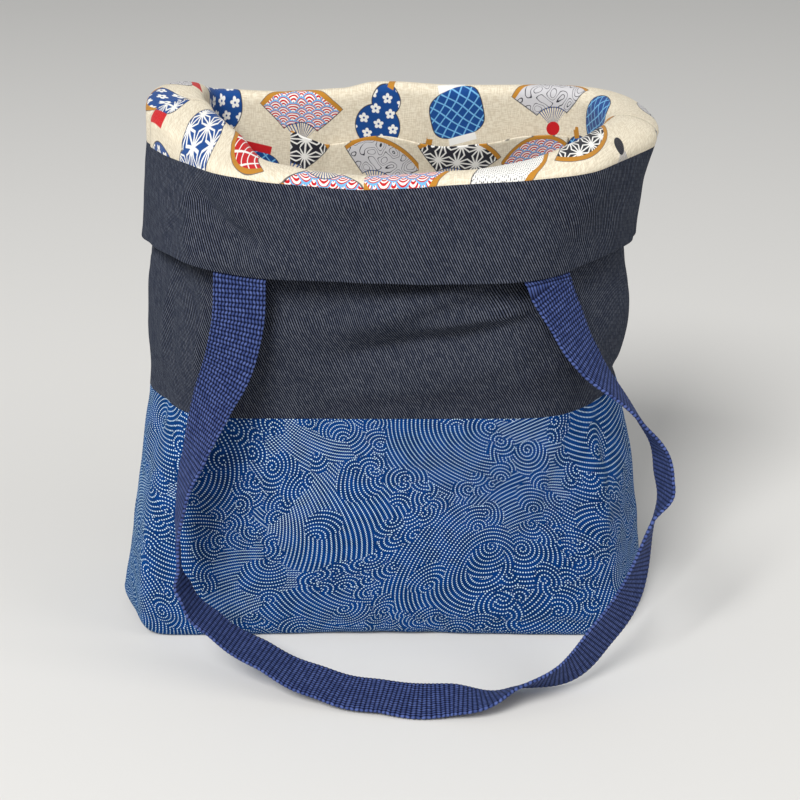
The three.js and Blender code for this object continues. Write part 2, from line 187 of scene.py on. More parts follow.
def reach(rows, z, heading):
    """Distance of the outline from the middle of the bag, towards a heading."""
    ahead, aside = np.cos(heading), np.sin(heading)
    values = {name: read(rows, "z", z, name) for name in PLAN_COLUMNS[1:]}
    sides = [(0, -1, values["front"]), (0, 1, values["back"])]
    for side, apex, facing, depth, corner in SLANTS:
        lead = values[apex] - values[corner]
        length = np.hypot(values[depth], lead)
        far = values[depth] * values[apex] / length
        sides.append((side * values[depth] / length, facing * lead / length, far))
    total = 0
    for x, y, far in sides:
        total = total + np.maximum((x * ahead + y * aside) / far, 0) ** values["crisp"]
    return total ** (-1 / values["crisp"])


HEADING_STEPS = 360
turn = np.linspace(0, np.pi, HEADING_STEPS + 1)
heading_rows = []
for first in (np.pi, 0):
    headings = first + turn
    far = reach(WALL, PANEL_SEAM_Z, headings)
    steps = np.hypot(np.diff(far * np.cos(headings)), np.diff(far * np.sin(headings)))
    heading_rows.append((np.append(0, np.cumsum(steps)), headings))


def heading_at(way):
    """Heading of a way round: -1 and 3 are the left side seam, 0 the front, 1 the right seam."""
    found = []
    for (lengths, headings), start in zip(heading_rows, (-1, 1)):
        share = np.clip((way - start) / 2, 0, 1)
        found.append(np.interp(share * lengths[-1], lengths, headings))
    return np.where(way > 1, found[1], found[0])


print("half round at the seam:", round(float(heading_rows[0][0][-1]), 1), "mm")

# %% [markdown]
# Cloth is never quite even. Besides the main folds, which the frame has too, there are finer
# creases, and a very low ripple goes over the whole surface. The ripple is a sum of waves through
# space, so it closes round the bag without a step.

# %% Folds, creases and ripple
WALL_CREASES = table(FOLD_COLUMNS, [
    [-30, 176, 6, 40, 7, 1.1],
    [-62, 160, -12, 24, 6, -0.9],
    [5, 206, 4, 46, 7, -1.4],
    [62, 200, -8, 22, 5, -1.2],
    [72, 165, -38, 22, 4, 1.0],
    [84, 150, -52, 20, 4, -0.9],
    [-110, 190, -40, 18, 5, -1.2],
    [-118, 160, -78, 26, 4, -0.8],
    [-132, 118, 84, 26, 5, -1.1],
    [-112, 60, 78, 44, 6, 0.9],
    [112, 74, 80, 44, 5, 1.2],
    [124, 105, 70, 24, 5, -1.1],
    [-44, 96, 64, 30, 8, -0.7],
    [20, 70, -40, 50, 12, 0.6],
    [64, 40, 20, 40, 9, -0.6],
    [90, 94, 73, 34, 5, 1.3],
    [66, 92, 86, 30, 6, -1.2],
    [10, 247, 2, 75, 11, 3.2],
    [24, 169, 12, 44, 5, -2.0],
    [44, 180, 9, 30, 4, 1.8],
    [-14, 157, 10, 34, 6, 1.8],
    [62, 152, 20, 26, 5, -1.5],
    [-96, 150, 80, 26, 5, 1.3],
    [384, 240, 88, 34, 4, -2.2],
    [-70, 30, -15, 36, 8, 0.5],
    [250, 150, 30, 40, 8, 1.2],
    [370, 190, -18, 40, 7, -1.6],
    [400, 100, 60, 40, 8, 0.9],
    [290, 60, -50, 44, 10, 0.7],
])
CUFF_CREASES = table(FOLD_COLUMNS, [
    [-20, 236, 5, 46, 5, 0.7],
    [30, 228, -6, 40, 8, -0.8],
    [-105, 228, 48, 20, 5, -1.0],
    [112, 232, -50, 22, 5, -1.0],
    [60, 214, 10, 26, 5, 0.6],
    [-48, 212, -8, 20, 4, 0.5],
    [-74, 228, -22, 26, 6, -3.6],
    [-64, 213, -10, 32, 5, 2.4],
    [-30, 240, -6, 44, 4, 1.4],
    [104, 226, -38, 26, 5, -1.6],
    [330, 216, 6, 50, 7, 0.8],
    [240, 230, -30, 24, 6, -0.9],
])


def relief(folds, round_mm, z):
    """Height that the folds of a table add to the cloth."""
    height = np.zeros(np.broadcast(round_mm, z).shape)
    for number in range(len(folds["z"])):
        fold = {name: column[number] for name, column in folds.items()}
        tilt = math.radians(fold["tilt"])
        whole = 4 * HALF_ROUND
        right = np.mod(round_mm - fold["round"] + whole / 2, whole) - whole / 2
        up = z - fold["z"]
        lengthwise = (right * math.cos(tilt) + up * math.sin(tilt)) / fold["long"]
        crosswise = (up * math.cos(tilt) - right * math.sin(tilt)) / fold["wide"]
        height = height + fold["deep"] * np.exp(-(lengthwise ** 4) - crosswise ** 2)
    return height


RIPPLE_WAVES = 36
RIPPLE_HEIGHT = 0.16
ripple_drawn = np.random.default_rng(7)
wave_directions = ripple_drawn.normal(size=(RIPPLE_WAVES, 3))
wave_directions /= np.linalg.norm(wave_directions, axis=1)[:, None]
wave_lengths = ripple_drawn.uniform(14, 46, RIPPLE_WAVES)
wave_starts = ripple_drawn.uniform(0, 2 * np.pi, RIPPLE_WAVES)


def polar(heading, out, z):
    """Points at a distance out from the middle of the bag, towards a heading."""
    return np.stack(np.broadcast_arrays(out * np.cos(heading), out * np.sin(heading), z), -1)


def ripple(heading, z, far):
    """Low unevenness of the cloth, at most about half a millimetre."""
    place = polar(heading, far, z)
    height = 0
    for direction, length, start in zip(wave_directions, wave_lengths, wave_starts):
        height = height + np.sin(place @ direction * 2 * np.pi / length + start)
    return height * RIPPLE_HEIGHT / math.sqrt(RIPPLE_WAVES / 6)


def groove(way):
    from_seam = HALF_ROUND * np.minimum.reduce([abs(way + 1), abs(way - 1), abs(way - 3)])
    return GROOVE_DEEP * np.exp(-((from_seam / GROOVE_WIDE) ** 2))


def cloth_reach(plan, folds, creases, way, z):
    heading = heading_at(way)
    far = reach(plan, z, heading)
    round_mm = way * HALF_ROUND
    raised = relief(folds, round_mm, z) + relief(creases, round_mm, z)
    return far + raised + ripple(heading, z, far) - groove(way)


print("ripple on the front:", np.round(ripple(-1.5, np.array([60.0, 90, 120]), 50.0), 2))

# %% [markdown]
# One surface runs from the middle of the base up the wall, over the rolled rim and down the cuff.
# A station says how far along that walk a point is, and whole numbers are its turning points. The
# top of the roll leans inward, so that the cloth slopes down to the cuff as a folded rim does.

# %% The walk from the base to the hem
MIDDLE, BASE_EDGE, WALL_FOOT, PANEL_SEAM, ROLL_START, ROLL_END, BAND_SEAM, HEM = range(8)
FOOT_Z = OUTER_CLOTH / 2 + BASE_ROLL
ROLL_LEAN = 0.72


def wall_reach(way, z):
    return cloth_reach(WALL, WALL_FOLDS, WALL_CREASES, way, z)


def cuff_reach(way, z):
    return cloth_reach(CUFF, CUFF_FOLDS, CUFF_CREASES, way, z)


def cloth_stage(stage, way, share):
    """Distance out and height of the cloth's middle at a share of one stage."""
    rim = {name: read(RIM, "way", way, name) for name in ("fold", "rise", "seam", "hem")}
    spring = rim["fold"] - rim["rise"]
    if stage == MIDDLE:
        return (wall_reach(way, FOOT_Z) - BASE_ROLL) * share, OUTER_CLOTH / 2
    if stage == BASE_EDGE:
        turned = share * np.pi / 2
        out = wall_reach(way, FOOT_Z) - BASE_ROLL * (1 - np.sin(turned))
        return out, FOOT_Z - BASE_ROLL * np.cos(turned)
    if stage == WALL_FOOT:
        z = FOOT_Z + (PANEL_SEAM_Z - FOOT_Z) * share
        return wall_reach(way, z), z
    if stage == PANEL_SEAM:
        start = PANEL_SEAM_Z + SEAM_GAP
        z = start + (spring - start) * share
        return wall_reach(way, z), z
    if stage == ROLL_START:
        inner, outer = wall_reach(way, spring), cuff_reach(way, spring)
        out = inner + (outer - inner) * (1 - np.cos(share * np.pi)) / 2
        return out, spring + rim["rise"] * np.sin(share ** ROLL_LEAN * np.pi)
    if stage == ROLL_END:
        z = spring + (rim["seam"] + SEAM_GAP / 2 - spring) * share
        return cuff_reach(way, z), z
    start = rim["seam"] - SEAM_GAP / 2
    z = start + (rim["hem"] - start) * share
    return cuff_reach(way, z), z


def cloth_points(ways, stations):
    """Points on the cloth's middle, a row for each station and a column for each way."""
    heading = heading_at(ways)
    rows = []
    for station in stations:
        stage = min(int(math.floor(station)), HEM - 1)
        out, z = cloth_stage(stage, ways, station - stage)
        rows.append(polar(heading, out, z))
    return np.array(rows)


print("hem at the front:", np.round(cloth_points(np.array([0.0]), [HEM])[0, 0], 1))

# %% [markdown]
# A sheet of cloth is a closed skin: its right side, its wrong side and a rounded edge where one
# turns into the other. The helper takes the middle of the cloth and lays both sides off along the
# direction in which the cloth faces. The flat lengths along and across go into the UV map, so a
# weave or a print drawn on the UV map keeps its real size and follows every fold.

# %% A helper that makes closed sheets
EDGE_STEPS = 4
NOT_ZERO = 1e-12
WELD_DISTANCE = 0.01


def facing(points, ring):
    """Direction in which each point of a grid faces, from its neighbours."""
    if ring:
        across = np.roll(points, -1, 1) - np.roll(points, 1, 1)
    else:
        across = np.gradient(points, axis=1)
    along = np.gradient(points, axis=0)
    normal = np.cross(across, along)
    size = np.linalg.norm(normal, axis=2, keepdims=True)
    normal = normal / np.maximum(size, NOT_ZERO)
    if size[0].max() < 1e-6:
        normal[0] = (0, 0, -1)
    return normal


def closed_sheet(name, points, normals, flat, low, high, ring=False, pole=False):
    """A mesh round a grid of points, with flat (across, along) places in its UV map."""
    middle, half = (low + high) / 2, (high - low) / 2
    centre = points + normals * middle
    bends = np.pi * np.arange(1, EDGE_STEPS) / EDGE_STEPS
    loops = [spot + normal * half for spot, normal in zip(centre, normals)]
    places = list(flat)

    def edge(row, near, rising):
        outward = centre[row] - centre[near]
        outward /= np.maximum(np.linalg.norm(outward, axis=1, keepdims=True), NOT_ZERO)
        for bend in bends:
            bulge = outward * math.sin(bend) + normals[row] * math.cos(bend) * rising
            loops.append(centre[row] + bulge * half)
            places.append(flat[row])

    edge(-1, -2, 1)
    for row in reversed(range(len(centre))):
        loops.append(centre[row] - normals[row] * half)
        places.append(flat[row])
    if not pole:
        edge(0, 1, -1)
    loops, places = np.array(loops), np.array(places)
    rows, columns = loops.shape[:2]
    row, column = np.meshgrid(np.arange(rows), np.arange(columns - (not ring)), indexing="ij")
    after, beside = (row + 1) % rows, (column + 1) % columns
    corners = [(row, column), (row, beside), (after, beside), (after, column)]
    place_corners = [(row, column), (row, column + 1), (after, column + 1), (after, column)]
    quads = np.stack([r * columns + c for r, c in corners], -1).reshape(-1, 4)
    polygons = quads.tolist()
    uv = [np.stack([places[r, c] for r, c in place_corners], 2).reshape(-1, 2)]
    if not ring:
        for side, turned in ((0, False), (columns - 1, True)):
            for cap in side_caps(len(centre), rows):
                around = cap[::-1] if turned else cap
                polygons.append([corner * columns + side for corner in around])
                uv.append(places[around, side])
    return new_piece(name, loops.reshape(-1, 3), polygons, np.concatenate(uv))


def side_caps(count, rows):
    """Faces that close a sheet's side, as rows of its loop: a strip and its rounded lips."""
    inner = count + EDGE_STEPS - 2
    caps = [[r, r + 1, inner + count - 1 - r, inner + count - r] for r in range(count - 1)]
    caps.append(list(range(count - 1, inner + 2)))
    if rows > inner + count + 1:
        caps.append([*range(inner + count, rows), 0])
    return caps


def new_piece(name, points, polygons, flat):
    """A welded mesh from points and flat places in millimetres."""
    mesh = bpy.data.meshes.new(name)
    mesh.from_pydata(points * MM, [], polygons)
    uv_map = mesh.uv_layers.new(name="flat")
    uv_map.data.foreach_set("uv", (flat * MM).astype(np.float32).ravel())
    piece = bpy.data.objects.new(name, mesh)
    bpy.context.scene.collection.objects.link(piece)
    weld(piece)
    print(name, "has", len(mesh.polygons), "faces")
    return piece


def weld(piece):
    """Close a piece's seams and poles, and shade it smooth."""
    bpy.ops.object.select_all(action="DESELECT")
    bpy.context.view_layer.objects.active = piece
    piece.select_set(True)
    bpy.ops.object.mode_set(mode="EDIT")
    bpy.ops.mesh.select_all(action="SELECT")
    bpy.ops.mesh.remove_doubles(threshold=WELD_DISTANCE * MM)
    bpy.ops.object.mode_set(mode="OBJECT")
    bpy.ops.object.shade_smooth()
    piece.select_set(False)


print("points of a sheet's edge between its two sides:", EDGE_STEPS - 1)

# %% [markdown]
# The flat place of each point is found by walking over the cloth: across is the walk round the bag
# from the middle of the front or the back, along is the walk down from the seam between the two
# panels. On the base the print runs straight from the front, as on a bag with boxed corners.

# %% Flat places of the cloth
BACK_PRINT_OFFSET = 700


def walk(points, axis):
    """Length of the walk over a grid of points along one axis, from its first row or column."""
    steps = np.linalg.norm(np.diff(points, axis=axis), axis=2)
    pad = [(1, 0), (0, 0)] if axis == 0 else [(0, 0), (1, 0)]
    return np.cumsum(np.pad(steps, pad), axis)


def flat_places(points, ways, stations, zero_row):
    """Places across and along the flat cloth, from its middle and from one of its rows."""
    across = walk(points, 1)
    middle = 2 if ways.min() >= 1 - 1e-6 else 0
    at_middle = int(np.argmin(abs(ways - middle)))
    across = across - across[:, at_middle:at_middle + 1]
    along = walk(points, 0)
    along = along - along[zero_row]
    edge = stations.count(BASE_EDGE) + stations.index(BASE_EDGE) - 1 if BASE_EDGE in stations else 0
    if edge:
        depth = abs(points[edge, :, 1]) - abs(points[:edge, :, 1])
        across[:edge] = points[:edge, :, 0]
        along[:edge] = along[edge] - depth
    if middle:
        across = across + BACK_PRINT_OFFSET
    return np.stack([across, along], -1)


print("the back's print starts at", BACK_PRINT_OFFSET, "mm across")

# %% [markdown]
# The lower panel is one ring of printed cotton that also makes the base. The upper of navy twill is
# two panels, front and back, that meet at the side seams. Each runs up the wall, turns over in the
# roll and comes down behind the facing band.

# %% Rows and columns of the sheets
COLUMNS_A_HALF = 190


def span(start, stop, count, end=False):
    return [float(v) for v in np.linspace(start, stop, count + 1)][: None if end else -1]


HAIR = 1e-6
HEM_ROWS = [HEM - step for step in (0.06, 0.045, 0.038, 0.03, 0.022, 0.014, 0)]
base_rows = span(MIDDLE, BASE_EDGE, 9, True) + span(BASE_EDGE, WALL_FOOT, 8)
lower_rows = base_rows + span(WALL_FOOT, PANEL_SEAM - HAIR, 68, True)
lining_foot_rows = base_rows + span(WALL_FOOT, PANEL_SEAM, 30)
wall_rows = span(PANEL_SEAM, ROLL_START, 66)
roll_rows = span(ROLL_START, ROLL_END, 16)
neck_rows = [ROLL_END, BAND_SEAM - HAIR]
band_rows = span(BAND_SEAM, HEM_ROWS[0], 24) + HEM_ROWS
front_ways = np.linspace(-1, 1, COLUMNS_A_HALF + 1)
back_ways = np.linspace(1, 3, COLUMNS_A_HALF + 1)
round_ways = np.linspace(-1, 3, 2 * COLUMNS_A_HALF + 1)[:-1]
outer_cloth = {"low": -OUTER_CLOTH / 2, "high": OUTER_CLOTH / 2}
LINING_FACE = -OUTER_CLOTH / 2 - LAYER_GAP
inner_cloth = {"low": LINING_FACE - LINING_CLOTH, "high": LINING_FACE}
print("rows up the wall:", len(lower_rows) + len(wall_rows))


# %% The lower panel
points = cloth_points(round_ways, lower_rows)
closed_points = np.concatenate([points, points[:, :1]], 1)
flat = flat_places(closed_points, np.append(round_ways, 3), lower_rows, len(lower_rows) - 1)
lower_panel = closed_sheet(
    "lower_cotton", points, facing(points, True), flat, ring=True, pole=True, **outer_cloth,
)

# %% The upper panels
SIDES = ("front", "back")
HALF_GAP = {"front": -SEAM_GAP / 2, "back": SEAM_GAP / 2}


def half_sheet(name, side, stations, layer, zero_row=0, flip=1):
    """A sheet of the front or back half, whose flat places are measured from a row."""
    ways = front_ways if side == "front" else back_ways
    points = cloth_points(ways, stations)
    normals = facing(points, False)
    flat = flat_places(points, ways, stations, zero_row)
    flat[..., 1] *= flip
    points[..., 1] += HALF_GAP[side]
    return closed_sheet(name, points, normals, flat, pole=stations[0] == MIDDLE, **layer)


upper_panels = {}
for side in SIDES:
    stations = wall_rows + roll_rows + [ROLL_END] + band_rows
    upper_panels[side] = half_sheet(f"upper_twill_{side}", side, stations, outer_cloth)

# %% [markdown]
# The lining is a second bag inside the first. It comes to the outside over the roll, so its print
# stands on its head there. The facing is a band of twill sewn to its edge, and this is what shows
# on the outside of the turned-down cuff.

# %% The lining and the facing
lining, facings = {}, {}
for side in SIDES:
    stations = lining_foot_rows + wall_rows + roll_rows + neck_rows
    seam_row = len(lining_foot_rows)
    lining[side] = half_sheet(f"lining_cotton_{side}", side, stations, inner_cloth, seam_row)
    facings[side] = half_sheet(f"facing_twill_{side}", side, band_rows, inner_cloth, 0, -1)

# %% [markdown]
# The slip pocket is a patch on the lining of the back wall, stitched at its sides, its foot and
# once down its length. Its hem stands off the wall where it isn't held.

# %% The pocket
POCKET_COLUMNS, POCKET_ROWS = 110, 66
POCKET_PRINT_ACROSS, POCKET_PRINT_ALONG = 300, -40
POCKET_FACE = inner_cloth["low"] - LAYER_GAP - POCKET_ROOM
pocket_cloth = {"low": POCKET_FACE - LINING_CLOTH, "high": POCKET_FACE}


def pocket_points(ways, levels):
    """Middle of the cloth under the pocket and the distance that the pocket stands off it."""
    x = (2 - ways) * HALF_ROUND
    spring = read(RIM, "way", ways, "fold") - read(RIM, "way", ways, "rise")
    top = read(POCKET, "x", x, "top")
    gape = np.maximum(read(POCKET, "x", x, "gape"), 0)
    wall_start = PANEL_SEAM_Z + SEAM_GAP
    rows, lifts = [], []
    heading = heading_at(ways)
    for level in levels:
        z = POCKET_FOOT_Z + (top - POCKET_FOOT_Z) * level
        share = (z - wall_start) / (spring - wall_start)
        out, z = cloth_stage(PANEL_SEAM, ways, share)
        rows.append(polar(heading, out, z))
        lifts.append(gape * level ** 2)
    return np.array(rows), np.array(lifts)[..., None]


pocket_ways = 2 - np.linspace(POCKET["x"][-1], POCKET["x"][0], POCKET_COLUMNS + 1) / HALF_ROUND
pocket_levels = np.linspace(0, 1, POCKET_ROWS + 1)
points, lifts = pocket_points(pocket_ways, pocket_levels)
normals = facing(points, False)
points = points - normals * lifts
flat = np.stack([walk(points, 1), walk(points, 0)], -1)
flat += (POCKET_PRINT_ACROSS, POCKET_PRINT_ALONG)
points[..., 1] += HALF_GAP["back"]
pocket = closed_sheet("pocket_cotton", points, facing(points, False), flat, **pocket_cloth)

# %% [markdown]
# A handle is one length of webbing. Its route is a table of points along its middle, with the
# direction across it at each one, so it can turn over as it does where it leaves the bag.

# %% Routes of the handles
STRAP_COLUMNS = ["along", "x", "y", "z", "across_x", "across_y", "across_z"]
STRAPS = {
    "front": [
        [30, -68, -66, 172, 0.95, -0.2, -0.2],
        [61, -79.5, -65, 142, 0.77, -0.61, -0.18],
        [90, -89.5, -67, 115, 0.46, -0.88, -0.08],
        [115, -96.5, -70, 91, 0.24, -0.97, 0],
        [145, -98.5, -75, 62, 0.1, -1, 0],
        [161, -96, -79, 47, 0, -1, 0],
        [186, -82, -84, 31, 0, -1, 0],
        [213, -58, -90.5, 17.5, 0, -1, -0.05],
        [245, -29.5, -99, 7.2, 0, -1, -0.1],
        [275, 0, -106, 4.2, 0, -1, -0.09],
        [310, 34, -109.5, 4.4, 0, -1, -0.06],
        [340, 64, -107, 8.6, -0.1, -0.86, 0.48],
        [395, 107, -92, 29, -0.49, -0.55, 0.68],
        [456, 132, -74, 83, -0.155, -0.88, 0.45],
        [477, 137, -68, 103, 0.22, -0.93, 0.15],
        [509, 124.5, -63, 131, -0.1, -0.93, 0.35],
        [548, 99.6, -60, 160, -0.55, -0.8, 0.1],
        [573, 87, -58, 182, -0.7, -0.7, 0],
    ],
    "back": [
        [32, 73, 69, 172, -0.97, 0.2, 0],
        [66, 81, 74, 139, -0.85, 0.5, 0],
        [101, 89, 79, 105, -0.5, 0.85, 0],
        [136, 93, 85, 71, -0.2, 0.97, 0],
        [164, 90, 91, 44, 0, 1, 0],
        [190, 77, 97, 22, 0, 1, 0],
        [219, 51, 104, 8, 0, 1, -0.06],
        [252, 19, 109, 4, 0, 1, -0.12],
        [286, -15, 109, 4, 0, 1, -0.12],
        [319, -47, 104, 8, 0, 1, -0.06],
        [348, -73, 97, 22, 0, 1, 0],
        [374, -86, 91, 44, 0, 1, 0],
        [402, -89, 85, 71, 0.2, 0.97, 0],
        [437, -86, 79, 105, 0.5, 0.85, 0],
        [472, -79, 74, 139, 0.85, 0.5, 0],
        [506, -72, 69, 172, 0.97, 0.2, 0],
    ],
}
STRAP_ENDS = {
    "front": [(-0.345, 0, 1), (0.455, 594, -1)],
    "back": [(1.6, 0, 1), (2.42, 538, -1)],
}
STRAP_DROP = 0.6


def strap_end(way, along, edge):
    """The row of a handle's table where it comes out from under the cuff."""
    half_way = STRAP_WIDTH / 2 / HALF_ROUND
    near = np.array([way - half_way, way, way + half_way])
    grid = cloth_points(near, [HEM - 0.02, HEM])
    before, after = grid[1, 0], grid[1, 2]
    across = (after - before) * edge
    across /= np.linalg.norm(across)
    face = np.cross(after - before, grid[1, 1] - grid[0, 1])
    face /= np.linalg.norm(face)
    point = (before + after) / 2 + face * (OUTER_CLOTH / 4 - STRAP_THICKNESS / 2)
    point[2] -= STRAP_DROP
    return [along, *point, *across]


routes = {}
for side, rows in STRAPS.items():
    first, last = (strap_end(*end) for end in STRAP_ENDS[side])
    routes[side] = table(STRAP_COLUMNS, [first, *rows, last])
    print(side, "handle:", round(routes[side]["along"][-1]), "mm between the cuffs")

# %% [markdown]
# The webbing is thick and firm at its selvedges, so its section is a flat bar with round edges. The
# section is swept along the route, and its UV map holds the place across and along the webbing.

# %% The handles
STRAP_TUCK = 6
STRAP_ROW = 2.2
STEPS_A_ROW = 4
ROW_RELIEF = 0.12
SELVEDGE_RELIEF = 0.28
FACE_POINTS = 24
SELVEDGE_POINTS = 4


def strap_section(half_wide, half_thick):
    """Points round the webbing as (across, thick), with a row for each step along it."""
    corner = half_wide - half_thick
    across = np.linspace(-1, 1, FACE_POINTS)
    bend = np.linspace(np.pi / 2, -np.pi / 2, SELVEDGE_POINTS + 2)[1:-1]
    one = np.ones_like(across)
    wide = np.concatenate([across, one[:SELVEDGE_POINTS], -across, -one[:SELVEDGE_POINTS]])
    round_x = np.concatenate([0 * one, np.cos(bend), 0 * one, -np.cos(bend)])
    round_y = np.concatenate([one, np.sin(bend), -one, -np.sin(bend)])
    x = wide * corner[:, None] + round_x * half_thick[:, None]
    return np.stack([x, round_y * half_thick[:, None]], -1)


def handle(name, route):
    length = route["along"][-1]
    steps = round((length + 2 * STRAP_TUCK) / STRAP_ROW * STEPS_A_ROW)
    along = np.linspace(-STRAP_TUCK, length + STRAP_TUCK, steps + 1)

    def middle(at):
        spot = np.stack([read(route, "along", at, axis) for axis in "xyz"], -1)
        spot[:, 2] += np.maximum(-at, 0) + np.maximum(at - length, 0)
        return spot

    centre = middle(along)
    forward = middle(along + 1) - middle(along - 1)
    forward /= np.linalg.norm(forward, axis=1, keepdims=True)
    across = np.stack([read(route, "along", along, axis) for axis in STRAP_COLUMNS[4:]], -1)
    held = ((along > 4) & (along < length - 4))[:, None]
    across = across - forward * np.sum(across * forward, 1, keepdims=True) * held
    across /= np.linalg.norm(across, axis=1, keepdims=True)
    face = np.cross(forward, across)
    travelled = np.append(0, np.cumsum(np.linalg.norm(np.diff(centre, axis=0), axis=1)))
    dip = 0.5 + 0.5 * np.cos(2 * np.pi * travelled / STRAP_ROW)
    half_thick = STRAP_THICKNESS / 2 - ROW_RELIEF * dip
    section = strap_section(STRAP_WIDTH / 2 - SELVEDGE_RELIEF * dip, half_thick)
    sideways = across[:, None] * section[..., 0:1]
    points = centre[:, None] + sideways + face[:, None] * section[..., 1:2]
    rows, columns = points.shape[:2]
    row, column = np.meshgrid(np.arange(rows - 1), np.arange(columns), indexing="ij")
    after = (column + 1) % columns
    corners = [(row, column), (row + 1, column), (row + 1, after), (row, after)]
    polygons = np.stack([r * columns + c for r, c in corners], -1).reshape(-1, 4).tolist()
    polygons += [list(range(columns)), list(range((rows - 1) * columns, rows * columns))[::-1]]
    places = np.stack([section[..., 0], np.repeat(travelled[:, None], columns, 1)], -1)
    flat = places.reshape(-1, 2)[np.concatenate([np.array(p) for p in polygons])]
    return new_piece(name, points.reshape(-1, 3), polygons, flat)


handles = {side: handle(f"handle_webbing_{side}", route) for side, route in routes.items()}

# %% [markdown]
# A skin whose faces point inwards may look right in a render, but other programs shade it wrongly.
# The volume that it encloses tells: it comes out negative where the faces point inwards.

# %% Check that the skins point outwards
def enclosed(piece):
    """Volume inside a piece's skin, which is negative where its faces point inwards."""
    mesh = piece.data
    mesh.calc_loop_triangles()
    corners = np.zeros(len(mesh.loop_triangles) * 3, np.int32)
    mesh.loop_triangles.foreach_get("vertices", corners)
    places = np.zeros(len(mesh.vertices) * 3)
    mesh.vertices.foreach_get("co", places)
    a, b, c = places.reshape(-1, 3)[corners.reshape(-1, 3)].transpose(1, 0, 2)
    return float(np.einsum("ij,ij->i", a, np.cross(b, c)).sum() / 6)


pieces = [lower_panel, pocket]
for group in (upper_panels, lining, facings, handles):
    pieces += group.values()
for piece in pieces:
    if enclosed(piece) < 0:
        piece.data.flip_normals()
    print(piece.name, "encloses", round(enclosed(piece) * 1e6, 1), "cm3")

# %% [markdown]
# The blue cotton is printed with lines of white dots that run together like waves, in the manner of
# a traditional stitched wave pattern. It could be painted, but a drawing that is worked out stays
# sharp at any size. First the waves are scattered over the flat cloth, as discs that overlap like
# tiles: broad ones, then fans, and small curls along the meeting lines of the broad ones. Half of
# the broad ones are combed, so their lines spread out from a point instead of running round it.

# %% Scatter the waves of the blue print
PRINT_FROM, PRINT_TO = (-190, -200), (900, 12)
ROW_SHARE = 0.87
LONG_DRIFT, SHORT_DRIFT = 7, 2.4
waves_drawn = np.random.default_rng(20)


def drift(places):
    """Places moved about slowly, which makes true circles look drawn by hand."""
    x, y = places[..., 0], places[..., 1]
    moved = [
        x + LONG_DRIFT * np.sin(y / 29 + x / 71) + SHORT_DRIFT * np.sin(x / 19 - y / 23 + 1),
        y + LONG_DRIFT * np.sin(x / 33 - y / 67 + 2) + SHORT_DRIFT * np.sin(y / 18 + x / 27),
    ]
    return np.stack(moved, -1)


def scatter(step, shift):
    """Places of a staggered grid, each shifted at random, in a random order."""
    x, y = np.meshgrid(
        np.arange(PRINT_FROM[0], PRINT_TO[0], step),
        np.arange(PRINT_FROM[1], PRINT_TO[1], step * ROW_SHARE),
    )
    x = x + (np.arange(len(x)) % 2)[:, None] * step / 2
    grid = np.stack([x, y], -1).reshape(-1, 2)
    return waves_drawn.permutation(grid + waves_drawn.uniform(-shift, shift, grid.shape))


print("the print runs from", PRINT_FROM, "to", PRINT_TO, "mm")

# %% [markdown]
# Each disc has a middle for its lines, which lies off its own centre. The middle of a combed disc
# is always well outside, so that its lines never crowd. Its number of lines is counted all the way
# round that middle, and is nought for a disc with rings.

# %% Draw the waves
COMB_AWAY = (2.0, 2.8)
COMB_PITCH = 2.5
COMBED_SHARE = 0.5
CURLS_KEPT = 0.72
EDGE_BAND = 4


def draw_waves(centres, radii, distances, combed=0):
    """Discs at their centres, with sizes and line middles drawn from two ranges."""
    count = len(centres)
    radius = waves_drawn.uniform(*radii, count)
    heading = waves_drawn.uniform(0, 2 * np.pi, count)
    away = radius * waves_drawn.uniform(*distances, count)
    comb = waves_drawn.uniform(size=count) < combed
    away = np.where(comb, radius * waves_drawn.uniform(*COMB_AWAY, count), away)
    rings = centres + np.stack([np.cos(heading), np.sin(heading)], -1) * away[:, None]
    return {
        "centre": centres,
        "radius": radius,
        "rings": rings,
        "hand": waves_drawn.choice([-1, 1], count),
        "lines": np.where(comb, np.round(2 * np.pi * away / COMB_PITCH), 0),
    }


def top_wave(waves, places):
    """Number of the first wave that covers each place."""
    apart = np.linalg.norm(places[:, None] - waves["centre"][None], axis=2)
    covered = apart < waves["radius"]
    return np.where(covered.any(1), covered.argmax(1), apart.argmin(1))


broad = draw_waves(scatter(41, 9), (27, 38), (0.5, 1.7), COMBED_SHARE)
fans = draw_waves(scatter(34, 12), (7, 12.5), (0.5, 1.1))
curl_places = scatter(7.4, 2.2)
curl_places = curl_places[waves_drawn.uniform(size=len(curl_places)) < CURLS_KEPT]
here = top_wave(broad, curl_places)
on_edge = np.zeros(len(curl_places), bool)
for step in [(EDGE_BAND, 0), (-EDGE_BAND, 0), (0, EDGE_BAND), (0, -EDGE_BAND)]:
    on_edge |= top_wave(broad, curl_places + step) != here
curls = draw_waves(curl_places[on_edge], (3.6, 6.6), (0.5, 1.1))
all_waves = {key: np.concatenate([waves[key] for waves in (curls, fans, broad)]) for key in broad}
for name, waves in {"broad waves": broad, "fans": fans, "curls": curls}.items():
    print(name, "on the cloth:", len(waves["radius"]))

# %% [markdown]
# The cloth's faces are small beside the waves, so each face carries the places of the topmost waves
# that reach it, measured from their own middles. The material then only has to draw their lines.

# %% Let the cloth's faces carry a drawing
def face_corners(piece):
    """Flat places of face corners, the face of each, and how many corners each face has."""
    mesh = piece.data
    flat = np.zeros(len(mesh.loops) * 2, np.float32)
    mesh.uv_layers["flat"].data.foreach_get("uv", flat)
    flat = flat.reshape(-1, 2) / MM
    starts = np.zeros(len(mesh.polygons), np.int32)
    mesh.polygons.foreach_get("loop_start", starts)
    counts = np.diff(np.append(starts, len(flat)))
    face = np.repeat(np.arange(len(counts)), counts)
    return flat, face, counts


